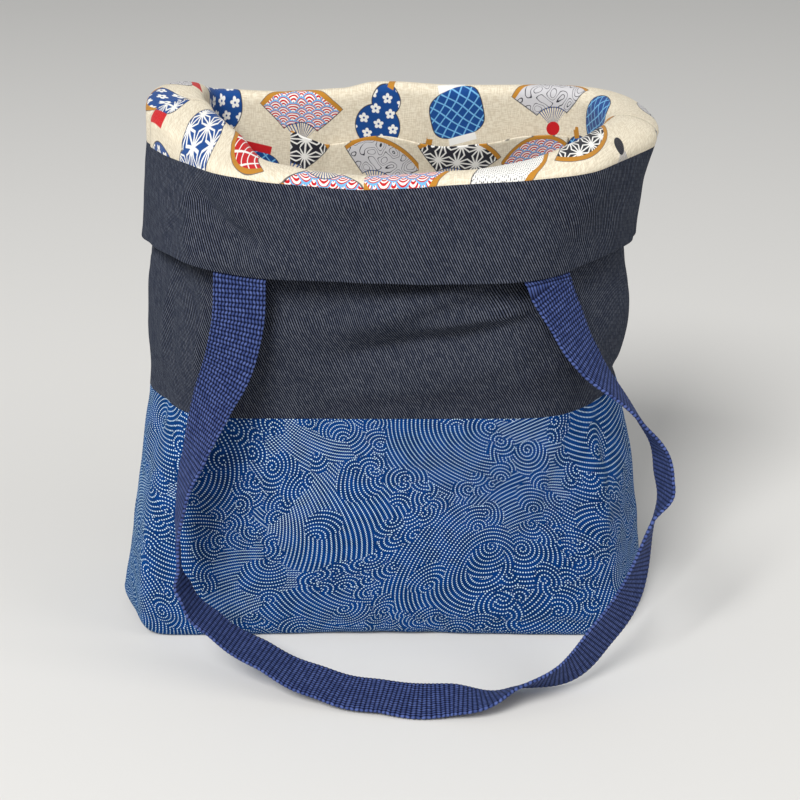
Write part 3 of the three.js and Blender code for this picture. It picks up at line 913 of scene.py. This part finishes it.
def face_middles(places, face, counts):
    sums = [np.bincount(face, places[:, axis]) for axis in (0, 1)]
    return np.stack(sums, -1) / counts[:, None]


def carry(piece, name, values):
    """Store three numbers at each face corner."""
    attribute = piece.data.attributes.new(name, "FLOAT_VECTOR", "CORNER")
    attribute.data.foreach_set("vector", values.astype(np.float32).ravel())


SLOTS = 3
FACE_REACH = 1.4
flat, face, counts = face_corners(lower_panel)
places = drift(flat)
middles = face_middles(places, face, counts)
slots = np.full((SLOTS, len(middles)), -1)
filled = np.zeros(len(middles), int)
for number, (centre, radius) in enumerate(zip(all_waves["centre"], all_waves["radius"])):
    apart = np.linalg.norm(middles - centre, axis=1)
    takes = (apart < radius + FACE_REACH) & (filled < SLOTS)
    slots[filled[takes], np.flatnonzero(takes)] = number
    filled[takes] += 1
    filled[(apart < radius - FACE_REACH)] = SLOTS
nearest = top_wave(broad, middles) + len(all_waves["radius"]) - len(broad["radius"])
slots = np.where(slots < 0, nearest, slots)
for slot, letter in zip(slots, "abc"):
    wave = slot[face]
    rings = places - all_waves["rings"][wave]
    cover = (places - all_waves["centre"][wave]) / all_waves["radius"][wave][:, None]
    rings[:, 0] *= all_waves["hand"][wave]
    carry(lower_panel, f"rings_{letter}", np.column_stack([rings, all_waves["lines"][wave]]))
    carry(lower_panel, f"cover_{letter}", np.column_stack([cover, cover[:, 0]]))
print("faces that carry waves:", len(middles))

# %% [markdown]
# A material works its colours out by small sums at every point of the cloth. Each sum is a Math
# node. This helper lets the sums be written as arithmetic, and makes one node for each.

# %% A helper for sums in a material
class Flow:
    """A number that flows from node to node."""

    def __init__(self, tree, socket):
        self.tree, self.socket = tree, socket

    def sum(self, operation, *others):
        node = self.tree.nodes.new("ShaderNodeMath")
        node.operation = operation
        for slot, value in zip(node.inputs, (self, *others)):
            feed(self.tree, value, slot)
        return Flow(self.tree, node.outputs[0])

    def __add__(self, other):
        return self.sum("ADD", other)

    def __sub__(self, other):
        return self.sum("SUBTRACT", other)

    def __mul__(self, other):
        return self.sum("MULTIPLY", other)

    def __truediv__(self, other):
        return self.sum("DIVIDE", other)

    def whole(self):
        return self.sum("FLOOR")

    def part(self):
        return self.sum("FRACT")

    def size(self):
        return self.sum("ABSOLUTE")

    def below(self, other):
        return self.sum("LESS_THAN", other)

    def is_near(self, number):
        return self.sum("COMPARE", number, 0.5)

    def wave(self, length):
        """Distance to the nearest multiple of a length."""
        return self.sum("PINGPONG", length / 2)

    def fade(self, none, full):
        """Nothing at one value and all at the other, with a soft step between."""
        node = self.tree.nodes.new("ShaderNodeMapRange")
        node.interpolation_type = "SMOOTHSTEP"
        feed(self.tree, self, node.inputs["Value"])
        node.inputs["From Min"].default_value = none
        node.inputs["From Max"].default_value = full
        return Flow(self.tree, node.outputs["Result"])


def feed(tree, value, slot):
    if isinstance(value, Flow):
        tree.links.new(value.socket, slot)
    else:
        slot.default_value = value


def length_of(across, along):
    return (across * across + along * along).sum("SQRT")


def lesser(first, *others):
    for other in others:
        first = first.sum("MINIMUM", other)
    return first


def greater(first, *others):
    for other in others:
        first = first.sum("MAXIMUM", other)
    return first


def choose(share, first, second):
    """The first value where share is 0 and the second where it is 1."""
    return first + (second - first) * share


print("what a flowing number can do:", [name for name in vars(Flow) if name[0] != "_"])

# %% [markdown]
# The sums start from a place on the flat cloth, from the numbers that the faces carry, or from
# chance. They end as a share, which lays one colour over another.

# %% Places, chance and colours
def axes(tree, socket):
    node = tree.nodes.new("ShaderNodeSeparateXYZ")
    tree.links.new(socket, node.inputs[0])
    return [Flow(tree, output) for output in node.outputs]


def flat_place(tree):
    """Millimetres across and along the flat cloth."""
    node = tree.nodes.new("ShaderNodeUVMap")
    node.uv_map = "flat"
    across, along, _ = axes(tree, node.outputs[0])
    return across * 1000, along * 1000


def attribute(tree, name):
    node = tree.nodes.new("ShaderNodeAttribute")
    node.attribute_name = name
    return node.outputs


def carried(tree, name):
    return axes(tree, attribute(tree, name)["Vector"])


def carried_colour(tree, name):
    return Flow(tree, attribute(tree, name)["Color"])


def joined(tree, across, along):
    node = tree.nodes.new("ShaderNodeCombineXYZ")
    feed(tree, across, node.inputs[0])
    feed(tree, along, node.inputs[1])
    return node.outputs[0]


def cloud(tree, across, along, patch, detail=1):
    """Soft noise from 0 to 1 whose patches have a size in millimetres."""
    noise = tree.nodes.new("ShaderNodeTexNoise")
    noise.noise_dimensions = "2D"
    noise.inputs["Scale"].default_value = 1
    noise.inputs["Detail"].default_value = detail
    tree.links.new(joined(tree, across / patch, along / patch), noise.inputs["Vector"])
    return Flow(tree, noise.outputs["Fac"])


def chance(tree, across, along):
    """A random number from 0 to 1 for each pair of whole numbers."""
    noise = tree.nodes.new("ShaderNodeTexWhiteNoise")
    noise.noise_dimensions = "2D"
    tree.links.new(joined(tree, across.whole(), along.whole()), noise.inputs["Vector"])
    return Flow(tree, noise.outputs["Value"])


def paint(red, green, blue):
    """A screen colour, 0 to 255, as the light that it stands for."""
    light = []
    for value in (red, green, blue):
        value = value / 255
        light.append(value / 12.92 if value < 0.04045 else ((value + 0.055) / 1.055) ** 2.4)
    return (*light, 1)


def blend(tree, share, first, second):
    """One colour laid over another by a share from 0 to 1."""
    node = tree.nodes.new("ShaderNodeMix")
    node.data_type = "RGBA"
    for slot, value in ((0, share), (6, first), (7, second)):
        feed(tree, value, node.inputs[slot])
    return Flow(tree, node.outputs[2])


print("navy as light:", [round(v, 3) for v in paint(30, 38, 66)])

# %% [markdown]
# All the cloths scatter light in the same way: they are rough, and their fibres catch light at a
# shallow angle, which is sheen. Only colour and the height of the threads differ.

# %% A helper for cloth
SPECULAR = 0.06
SHEEN_SPREAD = 0.45


def start_cloth(name, roughness, sheen, sheen_colour):
    material = bpy.data.materials.new(name)
    material.use_nodes = True
    shader = material.node_tree.nodes["Principled BSDF"]
    settings = {
        "Roughness": roughness,
        "Specular IOR Level": SPECULAR,
        "Sheen Weight": sheen,
        "Sheen Roughness": SHEEN_SPREAD,
        "Sheen Tint": sheen_colour,
    }
    for slot, value in settings.items():
        shader.inputs[slot].default_value = value
    return material, material.node_tree, shader


def end_cloth(tree, shader, colour, height, relief_mm):
    """Join a colour and a height of threads, given for 0 to 1, to the shader."""
    tree.links.new(colour.socket, shader.inputs["Base Color"])
    bump = tree.nodes.new("ShaderNodeBump")
    bump.inputs["Distance"].default_value = relief_mm * MM
    tree.links.new(height.socket, bump.inputs["Height"])
    tree.links.new(bump.outputs[0], shader.inputs["Normal"])
    print("nodes in the material:", len(tree.nodes))


def plain_weave(tree, across, along, thread):
    """Height of threads that cross over and under each other."""
    u, v = across / thread, along / thread
    over = ((u.whole() + v.whole()) * 0.5).part().below(0.25)
    warp = (u.part() - 0.5).size()
    weft = (v.part() - 0.5).size()
    return choose(over, weft, warp).fade(0.5, 0.05)


print("share of mirror light on all the cloths:", SPECULAR)

# %% [markdown]
# Three waves are carried, and the material shows the first that covers a place. Its lines are one
# long spiral, or spread like the teeth of a comb. Along each line the dots keep an even distance,
# and the cloth under them is a plain weave whose blue is a little patchy. Where the weave is low,
# between its threads, the blue is darkened as painted shade.

# %% The blue print's material
LINE_PITCH = 2.1
DOT_PITCH = 1.22
DOT_FULL, DOT_END = 0.28, 0.37
TWIST = 0.013
TOOTH_SHIFT = 0.37
THREAD_RELIEF = 0.08
COTTON_THREAD = 0.42
blue_cotton, tree, shader = start_cloth("printed_cotton", 0.8, 0.12, paint(60, 190, 240))
across, along = flat_place(tree)
ring_x, ring_y, lines = carried(tree, "rings_c")
for letter in "ba":
    own_x, own_y, own_lines = carried(tree, f"rings_{letter}")
    cover_x, cover_y, _ = carried(tree, f"cover_{letter}")
    covered = length_of(cover_x, cover_y).below(1)
    ring_x, ring_y = choose(covered, ring_x, own_x), choose(covered, ring_y, own_y)
    lines = choose(covered, lines, own_lines)
radius = length_of(ring_x, ring_y)
turned = ring_y.sum("ARCTAN2", ring_x) / (2 * math.pi)
line = (radius / LINE_PITCH - turned).sum("ROUND")
spiral = (line + turned) * LINE_PITCH
off_ring = radius - spiral
ring_beads = spiral * spiral * (math.pi / LINE_PITCH / DOT_PITCH)
combed = (turned + radius * (TWIST / 2 / math.pi)) * lines
tooth = combed.sum("ROUND")
bent = radius * TWIST
spread = radius * 2 * math.pi / greater(lines, 1) / (bent * bent + 1).sum("SQRT")
off_tooth = (combed - tooth) * spread
tooth_beads = (bent * bent / 6 + 1) * radius / DOT_PITCH + tooth * TOOTH_SHIFT
is_combed = lines.sum("GREATER_THAN", 0.5)
off_line = choose(is_combed, off_ring, off_tooth)
beads = choose(is_combed, ring_beads, tooth_beads).part() - 0.5
dot = length_of(off_line, beads * DOT_PITCH).fade(DOT_END, DOT_FULL)
weave = plain_weave(tree, across, along, COTTON_THREAD)
patchy = cloud(tree, across, along, 9)
ground = blend(tree, patchy.fade(0.3, 0.7), paint(0, 44, 102), paint(1, 56, 124))
colour = blend(tree, dot, ground, paint(214, 238, 252))
# Painted shade: where the weave is low, between the threads, the colour is darkened towards deep
# blue.
colour = blend(tree, weave.fade(0.5, 0) * 0.25, colour, paint(1, 28, 62))
end_cloth(tree, shader, colour, weave, THREAD_RELIEF)
lower_panel.data.materials.append(blue_cotton)

# %% [markdown]
# Twill has steep ribs, because each thread passes over two or three others and the next one does so
# a step further up. Here grey-blue ribs stand on a nearly black ground and lean to the left. The
# grey-blue is the yarn's own colour, and the nearly black ground is painted shade in the grooves.

# %% The twill
RIB_PITCH = 1.1
RIB_LEAN = math.radians(25)
FLOAT_LENGTH = 2.3
FLOAT_SHIFT = 0.37
RIB_RELIEF = 0.16
navy_twill, tree, shader = start_cloth("navy_twill", 0.85, 0.04, paint(130, 160, 200))
across, along = flat_place(tree)
ribs = (across * math.cos(RIB_LEAN) + along * math.sin(RIB_LEAN)) / RIB_PITCH
floats = (along * math.cos(RIB_LEAN) - across * math.sin(RIB_LEAN)) / FLOAT_LENGTH
floats = floats + ribs.whole() * FLOAT_SHIFT
rib = (ribs.part() - 0.5).size().fade(0.36, 0.12)
notch = (floats.part() - 0.5).size().fade(0.5, 0.36)
yarn = chance(tree, ribs, floats)
light = blend(tree, yarn, paint(64, 69, 84), paint(90, 94, 106))
# The ribs keep the yarn's colour; the nearly black in the grooves and at the ends of the floats is
# painted shade.
colour = blend(tree, rib * (notch * 0.35 + 0.65), paint(4, 6, 14), light)
end_cloth(tree, shader, colour, rib * (notch * 0.3 + 0.7), RIB_RELIEF)
for side in SIDES:
    upper_panels[side].data.materials.append(navy_twill)
    facings[side].data.materials.append(navy_twill)

# %% [markdown]
# Heavy cotton webbing shows rows of fat stitches across it. The mesh already has the rows and the
# bumpy selvedges. The material adds the stitches, which lean left in one row and right in the next,
# and darkens the gaps between them as painted shade.

# %% The webbing
STITCH_PITCH = 1.62
STITCH_LEAN = 0.34
STITCH_RELIEF = 0.35
navy_webbing, tree, shader = start_cloth("navy_webbing", 0.78, 0.12, paint(130, 150, 205))
across, along = flat_place(tree)
rows = along / STRAP_ROW
lean = ((rows.whole() * 0.5).part() - 0.25) * 4 * STITCH_LEAN
in_row = rows.part() - 0.5
stitches = across / STITCH_PITCH + lean * in_row
in_stitch = stitches.part() - 0.5
yarn = chance(tree, stitches, rows)
fibres = cloud(tree, across, along, 0.35)
stitch = length_of(in_stitch * 1.15, in_row * 1.02).fade(0.62, 0.18)
light = blend(tree, yarn * 0.7 + fibres * 0.3, paint(50, 64, 112), paint(84, 100, 156))
# The stitches keep the yarn's colour; the dark between them is painted shade in the gaps.
colour = blend(tree, stitch, paint(8, 12, 36), light)
end_cloth(tree, shader, colour, stitch, STITCH_RELIEF)
for side in SIDES:
    handles[side].data.materials.append(navy_webbing)

# %% [markdown]
# The lining is cream cotton with large coloured motifs. Here they are folding fans, lanterns, balls
# and gourds, filled with old textile patterns: scales, star lines, blossoms, nets and dotted lines.
# Each motif is placed on the flat cloth with a size and a turn, and the faces near it carry their
# places within it, and its colours.

# %% Scatter the motifs of the lining
LINING_FROM, LINING_TO = (-200, -200), (940, 300)
MOTIF_STEP = (43, 33)
MOTIF_SHIFT = 4
MOTIF_TURN = 0.22
MOTIF_SIZES = (16, 19.5)
FAN, LANTERN, BALL, GOURD = range(4)
SCALES, DOTTED, STARS, BLOSSOMS, NET, BRUSH = range(6)
RED, BLUE, SKY = (196, 24, 34), (14, 70, 138), (112, 176, 220)
INK, WHITE, SMOKE = (34, 36, 48), (240, 238, 232), (205, 203, 205)
OCHRE = (186, 128, 44)
DRESSES = [
    (SCALES, RED, WHITE, SKY),
    (SCALES, RED, WHITE, SKY),
    (NET, BLUE, SKY, WHITE),
    (SCALES, BLUE, WHITE, SKY),
    (STARS, INK, WHITE, BLUE),
    (BLOSSOMS, BLUE, WHITE, RED),
    (NET, BLUE, SKY, RED),
    (DOTTED, WHITE, INK, RED),
    (BRUSH, SMOKE, INK, RED),
    (BLOSSOMS, BLUE, WHITE, INK),
    (NET, RED, WHITE, BLUE),
    (STARS, BLUE, WHITE, RED),
]
DRESS_PARTS = ["motif_ground", "motif_figure", "motif_trim"]
motifs_drawn = np.random.default_rng(5)
motif_x, motif_y = np.meshgrid(
    np.arange(LINING_FROM[0], LINING_TO[0], MOTIF_STEP[0]),
    np.arange(LINING_FROM[1], LINING_TO[1], MOTIF_STEP[1]),
)
motif_x = motif_x + (np.arange(len(motif_x)) % 2)[:, None] * MOTIF_STEP[0] / 2
motif_places = np.stack([motif_x, motif_y], -1).reshape(-1, 2)
motif_count = len(motif_places)
motif_places += motifs_drawn.uniform(-MOTIF_SHIFT, MOTIF_SHIFT, motif_places.shape)
motif_turns = motifs_drawn.normal(0, MOTIF_TURN, motif_count)
motif_sizes = motifs_drawn.uniform(*MOTIF_SIZES, motif_count)
motif_kinds = motifs_drawn.choice([FAN, FAN, LANTERN, BALL, GOURD, FAN], motif_count)
motif_dresses = motifs_drawn.integers(0, len(DRESSES), motif_count)
print("motifs on the cloth:", motif_count)


def carry_motifs(piece):
    """Let each face carry the nearest motif."""
    flat, face, counts = face_corners(piece)
    middles = face_middles(flat, face, counts)
    nearest = np.zeros(len(middles), int)
    least = np.full(len(middles), np.inf)
    for number, (place, size) in enumerate(zip(motif_places, motif_sizes)):
        apart = np.linalg.norm(middles - place, axis=1) / size
        closer = apart < least
        nearest[closer], least[closer] = number, apart[closer]
    motif = nearest[face]
    away = flat - motif_places[motif]
    cos, sin = np.cos(motif_turns[motif]), np.sin(motif_turns[motif])
    x, y = away[:, 0] * cos + away[:, 1] * sin, away[:, 1] * cos - away[:, 0] * sin
    carry(piece, "motif_place", np.column_stack([x, y, motif_sizes[motif]]))
    fills = np.array([dress[0] for dress in DRESSES])[motif_dresses[motif]]
    carry(piece, "motif_sort", np.column_stack([motif_kinds[motif], fills, fills]))
    for part, name in enumerate(DRESS_PARTS, 1):
        colours = np.array([paint(*dress[part])[:3] for dress in DRESSES])
        carry(piece, name, colours[motif_dresses[motif]])


for piece in (*lining.values(), pocket):
    carry_motifs(piece)

# %% [markdown]
# The fills are worked out in millimetres within the motif. Overlapping scales are rows of circles
# in which each row covers the foot of the next one up.

# %% Fills of the motifs
SCALE_RADIUS = 4.4
STAR_STEP = 9
BLOSSOM_WIDE, BLOSSOM_HIGH = 8, 7
NET_STEP = 6
CONTOUR_PATCH, CONTOURS = 7, 8


def scale_fill(x, y):
    """Distance, 0 to 1, from the middle of the scale that shows at a place."""
    step = SCALE_RADIUS / 2
    row = (y / step).whole()
    up = y - row * step
    side = x + row * SCALE_RADIUS
    apart = [
        length_of((side + shift * SCALE_RADIUS).wave(2 * SCALE_RADIUS), up - shift * step)
        for shift in (-1, 0, 1)
    ]
    shown = choose(apart[1].below(SCALE_RADIUS), apart[2], apart[1])
    return choose(apart[0].below(SCALE_RADIUS), shown, apart[0]) / SCALE_RADIUS


def star_fill(x, y):
    u, v = x.wave(STAR_STEP), y.wave(STAR_STEP)
    slants = [(u * math.sin(a) - v * math.cos(a)).size() for a in (0.52, 1.05)]
    return lesser(u, v, *slants).fade(0.5, 0.25)


def blossom_fill(x, y):
    row = (y / BLOSSOM_HIGH).whole()
    u = ((x / BLOSSOM_WIDE + row * 0.5).part() - 0.5) * BLOSSOM_WIDE
    v = ((y / BLOSSOM_HIGH).part() - 0.5) * BLOSSOM_HIGH
    petals = (v.sum("ARCTAN2", u) * 2.5).sum("COSINE").size() * 1.1 + 1.5
    out = length_of(u, v)
    return (out / petals).fade(1.1, 0.95) * out.fade(0.4, 0.7)


def net_fill(x, y):
    bent = (y / 3).sum("SINE") * 0.7
    crossing = lesser((x + y + bent).wave(NET_STEP), (x - y + bent).wave(NET_STEP))
    return crossing.fade(0.6, 0.35)


def brush_fill(tree, x, y):
    contour = cloud(tree, x, y, CONTOUR_PATCH, 0.5) * CONTOURS
    return (contour.part() - 0.5).size().fade(0.12, 0.05)


print("radius of a scale:", SCALE_RADIUS, "mm")

# %% [markdown]
# Each outline is a distance: positive inside the motif and nought on its edge. The largest of
# several distances joins shapes, and the smallest keeps what they share. The numbers are shares of
# the motif's size.

# %% Outlines of the motifs
FAN_PIVOT = 0.8


def fan_outline(x, y):
    reach_out = length_of(x, y + FAN_PIVOT)
    slant = x.sum("ARCTAN2", y + FAN_PIVOT).size()
    leaf = lesser(reach_out * -1 + 1.55, reach_out - 0.62, reach_out * (slant * -1 + 0.82))
    sticks = lesser(reach_out * -1 + 0.64, reach_out * (slant * -1 + 0.72))
    rim = (reach_out - 1.5).size().below(0.06)
    return leaf, sticks, rim, reach_out.below(0.2)


def lantern_outline(x, y):
    rounded = (x / 0.8).size().sum("POWER", 2.4) + (y / 0.72).size().sum("POWER", 3.5)
    cap = lesser(x.size() * -1 + 0.4, ((y.size() - 0.8).size() * -1) + 0.1)
    return (rounded * -1 + 1) * 0.3, cap


def gourd_outline(x, y):
    belly = length_of(x, y + 0.28) * -1 + 0.66
    head = length_of(x, y - 0.5) * -1 + 0.42
    stem = lesser(x.size() * -1 + 0.08, (y - 1).size() * -1 + 0.14)
    return greater(belly, head), stem


print("a fan opens from", FAN_PIVOT, "of its size below its middle")

# %% [markdown]
# All outlines and fills are worked out everywhere, and the numbers that a face carries pick the one
# that shows. Then the colours are laid over each other as a printer would: cloth, body, ink, trims.
# Last comes painted shade, which darkens the low parts of the weave between the threads.

# %% The lining's material
OUTLINE_WIDTH = 0.35


def pick(chosen, values):
    """The value whose number is the chosen one."""
    total = None
    for number, value in values.items():
        share = value * chosen.is_near(number)
        total = share if total is None else total + share
    return total


cream_cotton, tree, shader = start_cloth("printed_lining", 0.85, 0.15, paint(255, 250, 240))
across, along = flat_place(tree)
x, y, size = carried(tree, "motif_place")
kind, fill, _ = carried(tree, "motif_sort")
unit_x, unit_y = x / size, y / size
scale = scale_fill(x, y)
fills = {
    SCALES: (scale * 3.5 + 0.3).part().fade(0.45, 0.6),
    DOTTED: (scale * 4).wave(1).fade(0.2, 0.1) * (x + y * 0.3).wave(0.9).fade(0.12, 0.3),
    STARS: star_fill(x, y),
    BLOSSOMS: blossom_fill(x, y),
    NET: net_fill(x, y),
    BRUSH: brush_fill(tree, x, y),
}
figure = pick(fill, fills)
leaf, sticks, rim, pivot = fan_outline(unit_x, unit_y)
lantern, cap = lantern_outline(unit_x, unit_y)
gourd, stem = gourd_outline(unit_x, unit_y)
ball = length_of(unit_x, unit_y) * -1 + 0.86
outlines = {FAN: leaf + 1, LANTERN: lantern + 1, BALL: ball + 1, GOURD: gourd + 1}
inside = (pick(kind, outlines) - 1) * size
body = inside.fade(-0.1, 0.1)
inked = inside.size().fade(OUTLINE_WIDTH, OUTLINE_WIDTH / 2)
is_fan = kind.is_near(FAN)
scale_trim = fill.is_near(SCALES) * scale.fade(0.84, 0.88)
trim = carried_colour(tree, DRESS_PARTS[2])
body_colour, figure_colour = [carried_colour(tree, name) for name in DRESS_PARTS[:2]]
dress = blend(tree, figure, body_colour, figure_colour)
dress = blend(tree, scale_trim, dress, trim)
thread_x = cloud(tree, across * 0.15, along, 0.5)
thread_y = cloud(tree, across, along * 0.15, 0.5)
weave = plain_weave(tree, across, along, COTTON_THREAD)
slubs = (thread_x + thread_y).fade(0.8, 1.2)
cloth = blend(tree, slubs, paint(216, 203, 178), paint(234, 224, 202))
colour = blend(tree, body, cloth, dress)
colour = blend(tree, inked * 0.85, colour, paint(*INK))
sticks_in = sticks.fade(-0.01, 0.01) * is_fan
slats = (unit_x.sum("ARCTAN2", unit_y + FAN_PIVOT) * 8).part().below(0.35)
colour = blend(tree, sticks_in * slats, colour, paint(*BLUE))
colour = blend(tree, rim * body * is_fan, colour, paint(*OCHRE))
colour = blend(tree, pivot * is_fan, colour, trim)
colour = blend(tree, cap.fade(-0.02, 0) * kind.is_near(LANTERN), colour, trim)
colour = blend(tree, stem.fade(-0.02, 0) * kind.is_near(GOURD), colour, paint(*OCHRE))
# Painted shade: where the weave is low, between the threads, the colour is darkened towards brown.
colour = blend(tree, weave.fade(0.5, 0) * 0.12, colour, paint(120, 110, 95))
end_cloth(tree, shader, colour, weave, THREAD_RELIEF)
for piece in (*lining.values(), pocket):
    piece.data.materials.append(cream_cotton)

# %% [markdown]
# Each piece now takes the place of its plain sheet in the frame. It moves with the body that the
# sheet belongs to.

# %% Join the pieces to the frame
for piece, node, slot in [
    (lower_panel, "lower_panel", "printed_cotton"),
    (pocket, "pocket", "printed_lining"),
    *((upper_panels[side], f"upper_{side}", "navy_twill") for side in SIDES),
    *((facings[side], f"facing_{side}", "navy_twill") for side in SIDES),
    *((lining[side], f"lining_{side}", "printed_lining") for side in SIDES),
    *((handles[side], f"strap_{side}", "navy_webbing") for side in SIDES),
]:
    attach(piece, "root")
    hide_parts(node)
    print(piece.name, "stands for", node)

# %% [markdown]
# In the flat pattern, the lower panel is one strip round the bag and half of the base on each side,
# with the boxed corners cut away.

# %% [markdown]
# The camera stands where the photographer's did: in front of the bag, a little to the right of its
# middle, looking down on it. A long lens keeps the sides of the bag nearly upright.

# %% Camera
CAMERA_PLACE = (9.5 * MM, -764 * MM, 439.3 * MM)
CAMERA_PITCH_DOWN = 23
camera_data = bpy.data.cameras.new("camera")
camera_data.lens = 72
camera_data.sensor_width = 36
camera = bpy.data.objects.new("camera", camera_data)
camera.location = CAMERA_PLACE
camera.rotation_euler = (math.radians(90 - CAMERA_PITCH_DOWN), 0, 0)
bpy.context.scene.collection.objects.link(camera)
bpy.context.scene.camera = camera
print("the camera stands", -CAMERA_PLACE[1], "m in front of the bag")

# %% [markdown]
# The floor is plain and pale. A large soft light from the front left gives the folds their shape.
# A weaker one from the right and the pale surroundings fill the shadows.

# %% Floor and light
bpy.ops.mesh.primitive_plane_add(size=8, location=(0, 0, 0))
floor = bpy.context.object
floor.name = "floor"
pale = bpy.data.materials.new("pale_floor")
pale.use_nodes = True
pale_inputs = pale.node_tree.nodes["Principled BSDF"].inputs
pale_inputs["Base Color"].default_value = paint(216, 214, 210)
pale_inputs["Roughness"].default_value = 0.9
floor.data.materials.append(pale)

world = bpy.data.worlds.new("studio")
bpy.context.scene.world = world
world.use_nodes = True
surroundings = world.node_tree.nodes["Background"].inputs
surroundings["Color"].default_value = (0.96, 0.98, 1, 1)
surroundings["Strength"].default_value = 0.38


def softbox(name, place, aim, size, power):
    light = bpy.data.lights.new(name, "AREA")
    light.size = size
    light.energy = power
    lamp = bpy.data.objects.new(name, light)
    lamp.location = place
    lamp.rotation_euler = (Vector(aim) - Vector(place)).to_track_quat("-Z", "Y").to_euler()
    bpy.context.scene.collection.objects.link(lamp)


softbox("key", place=(-1.15, -2.45, 2.7), aim=(0, 0, 0.1), size=1.3, power=150)
softbox("fill", place=(2.6, -1.4, 1.8), aim=(0, 0, 0.12), size=2.0, power=26)
bpy.context.scene.view_settings.view_transform = "Standard"
print("lamps:", [lamp.name for lamp in bpy.data.lights])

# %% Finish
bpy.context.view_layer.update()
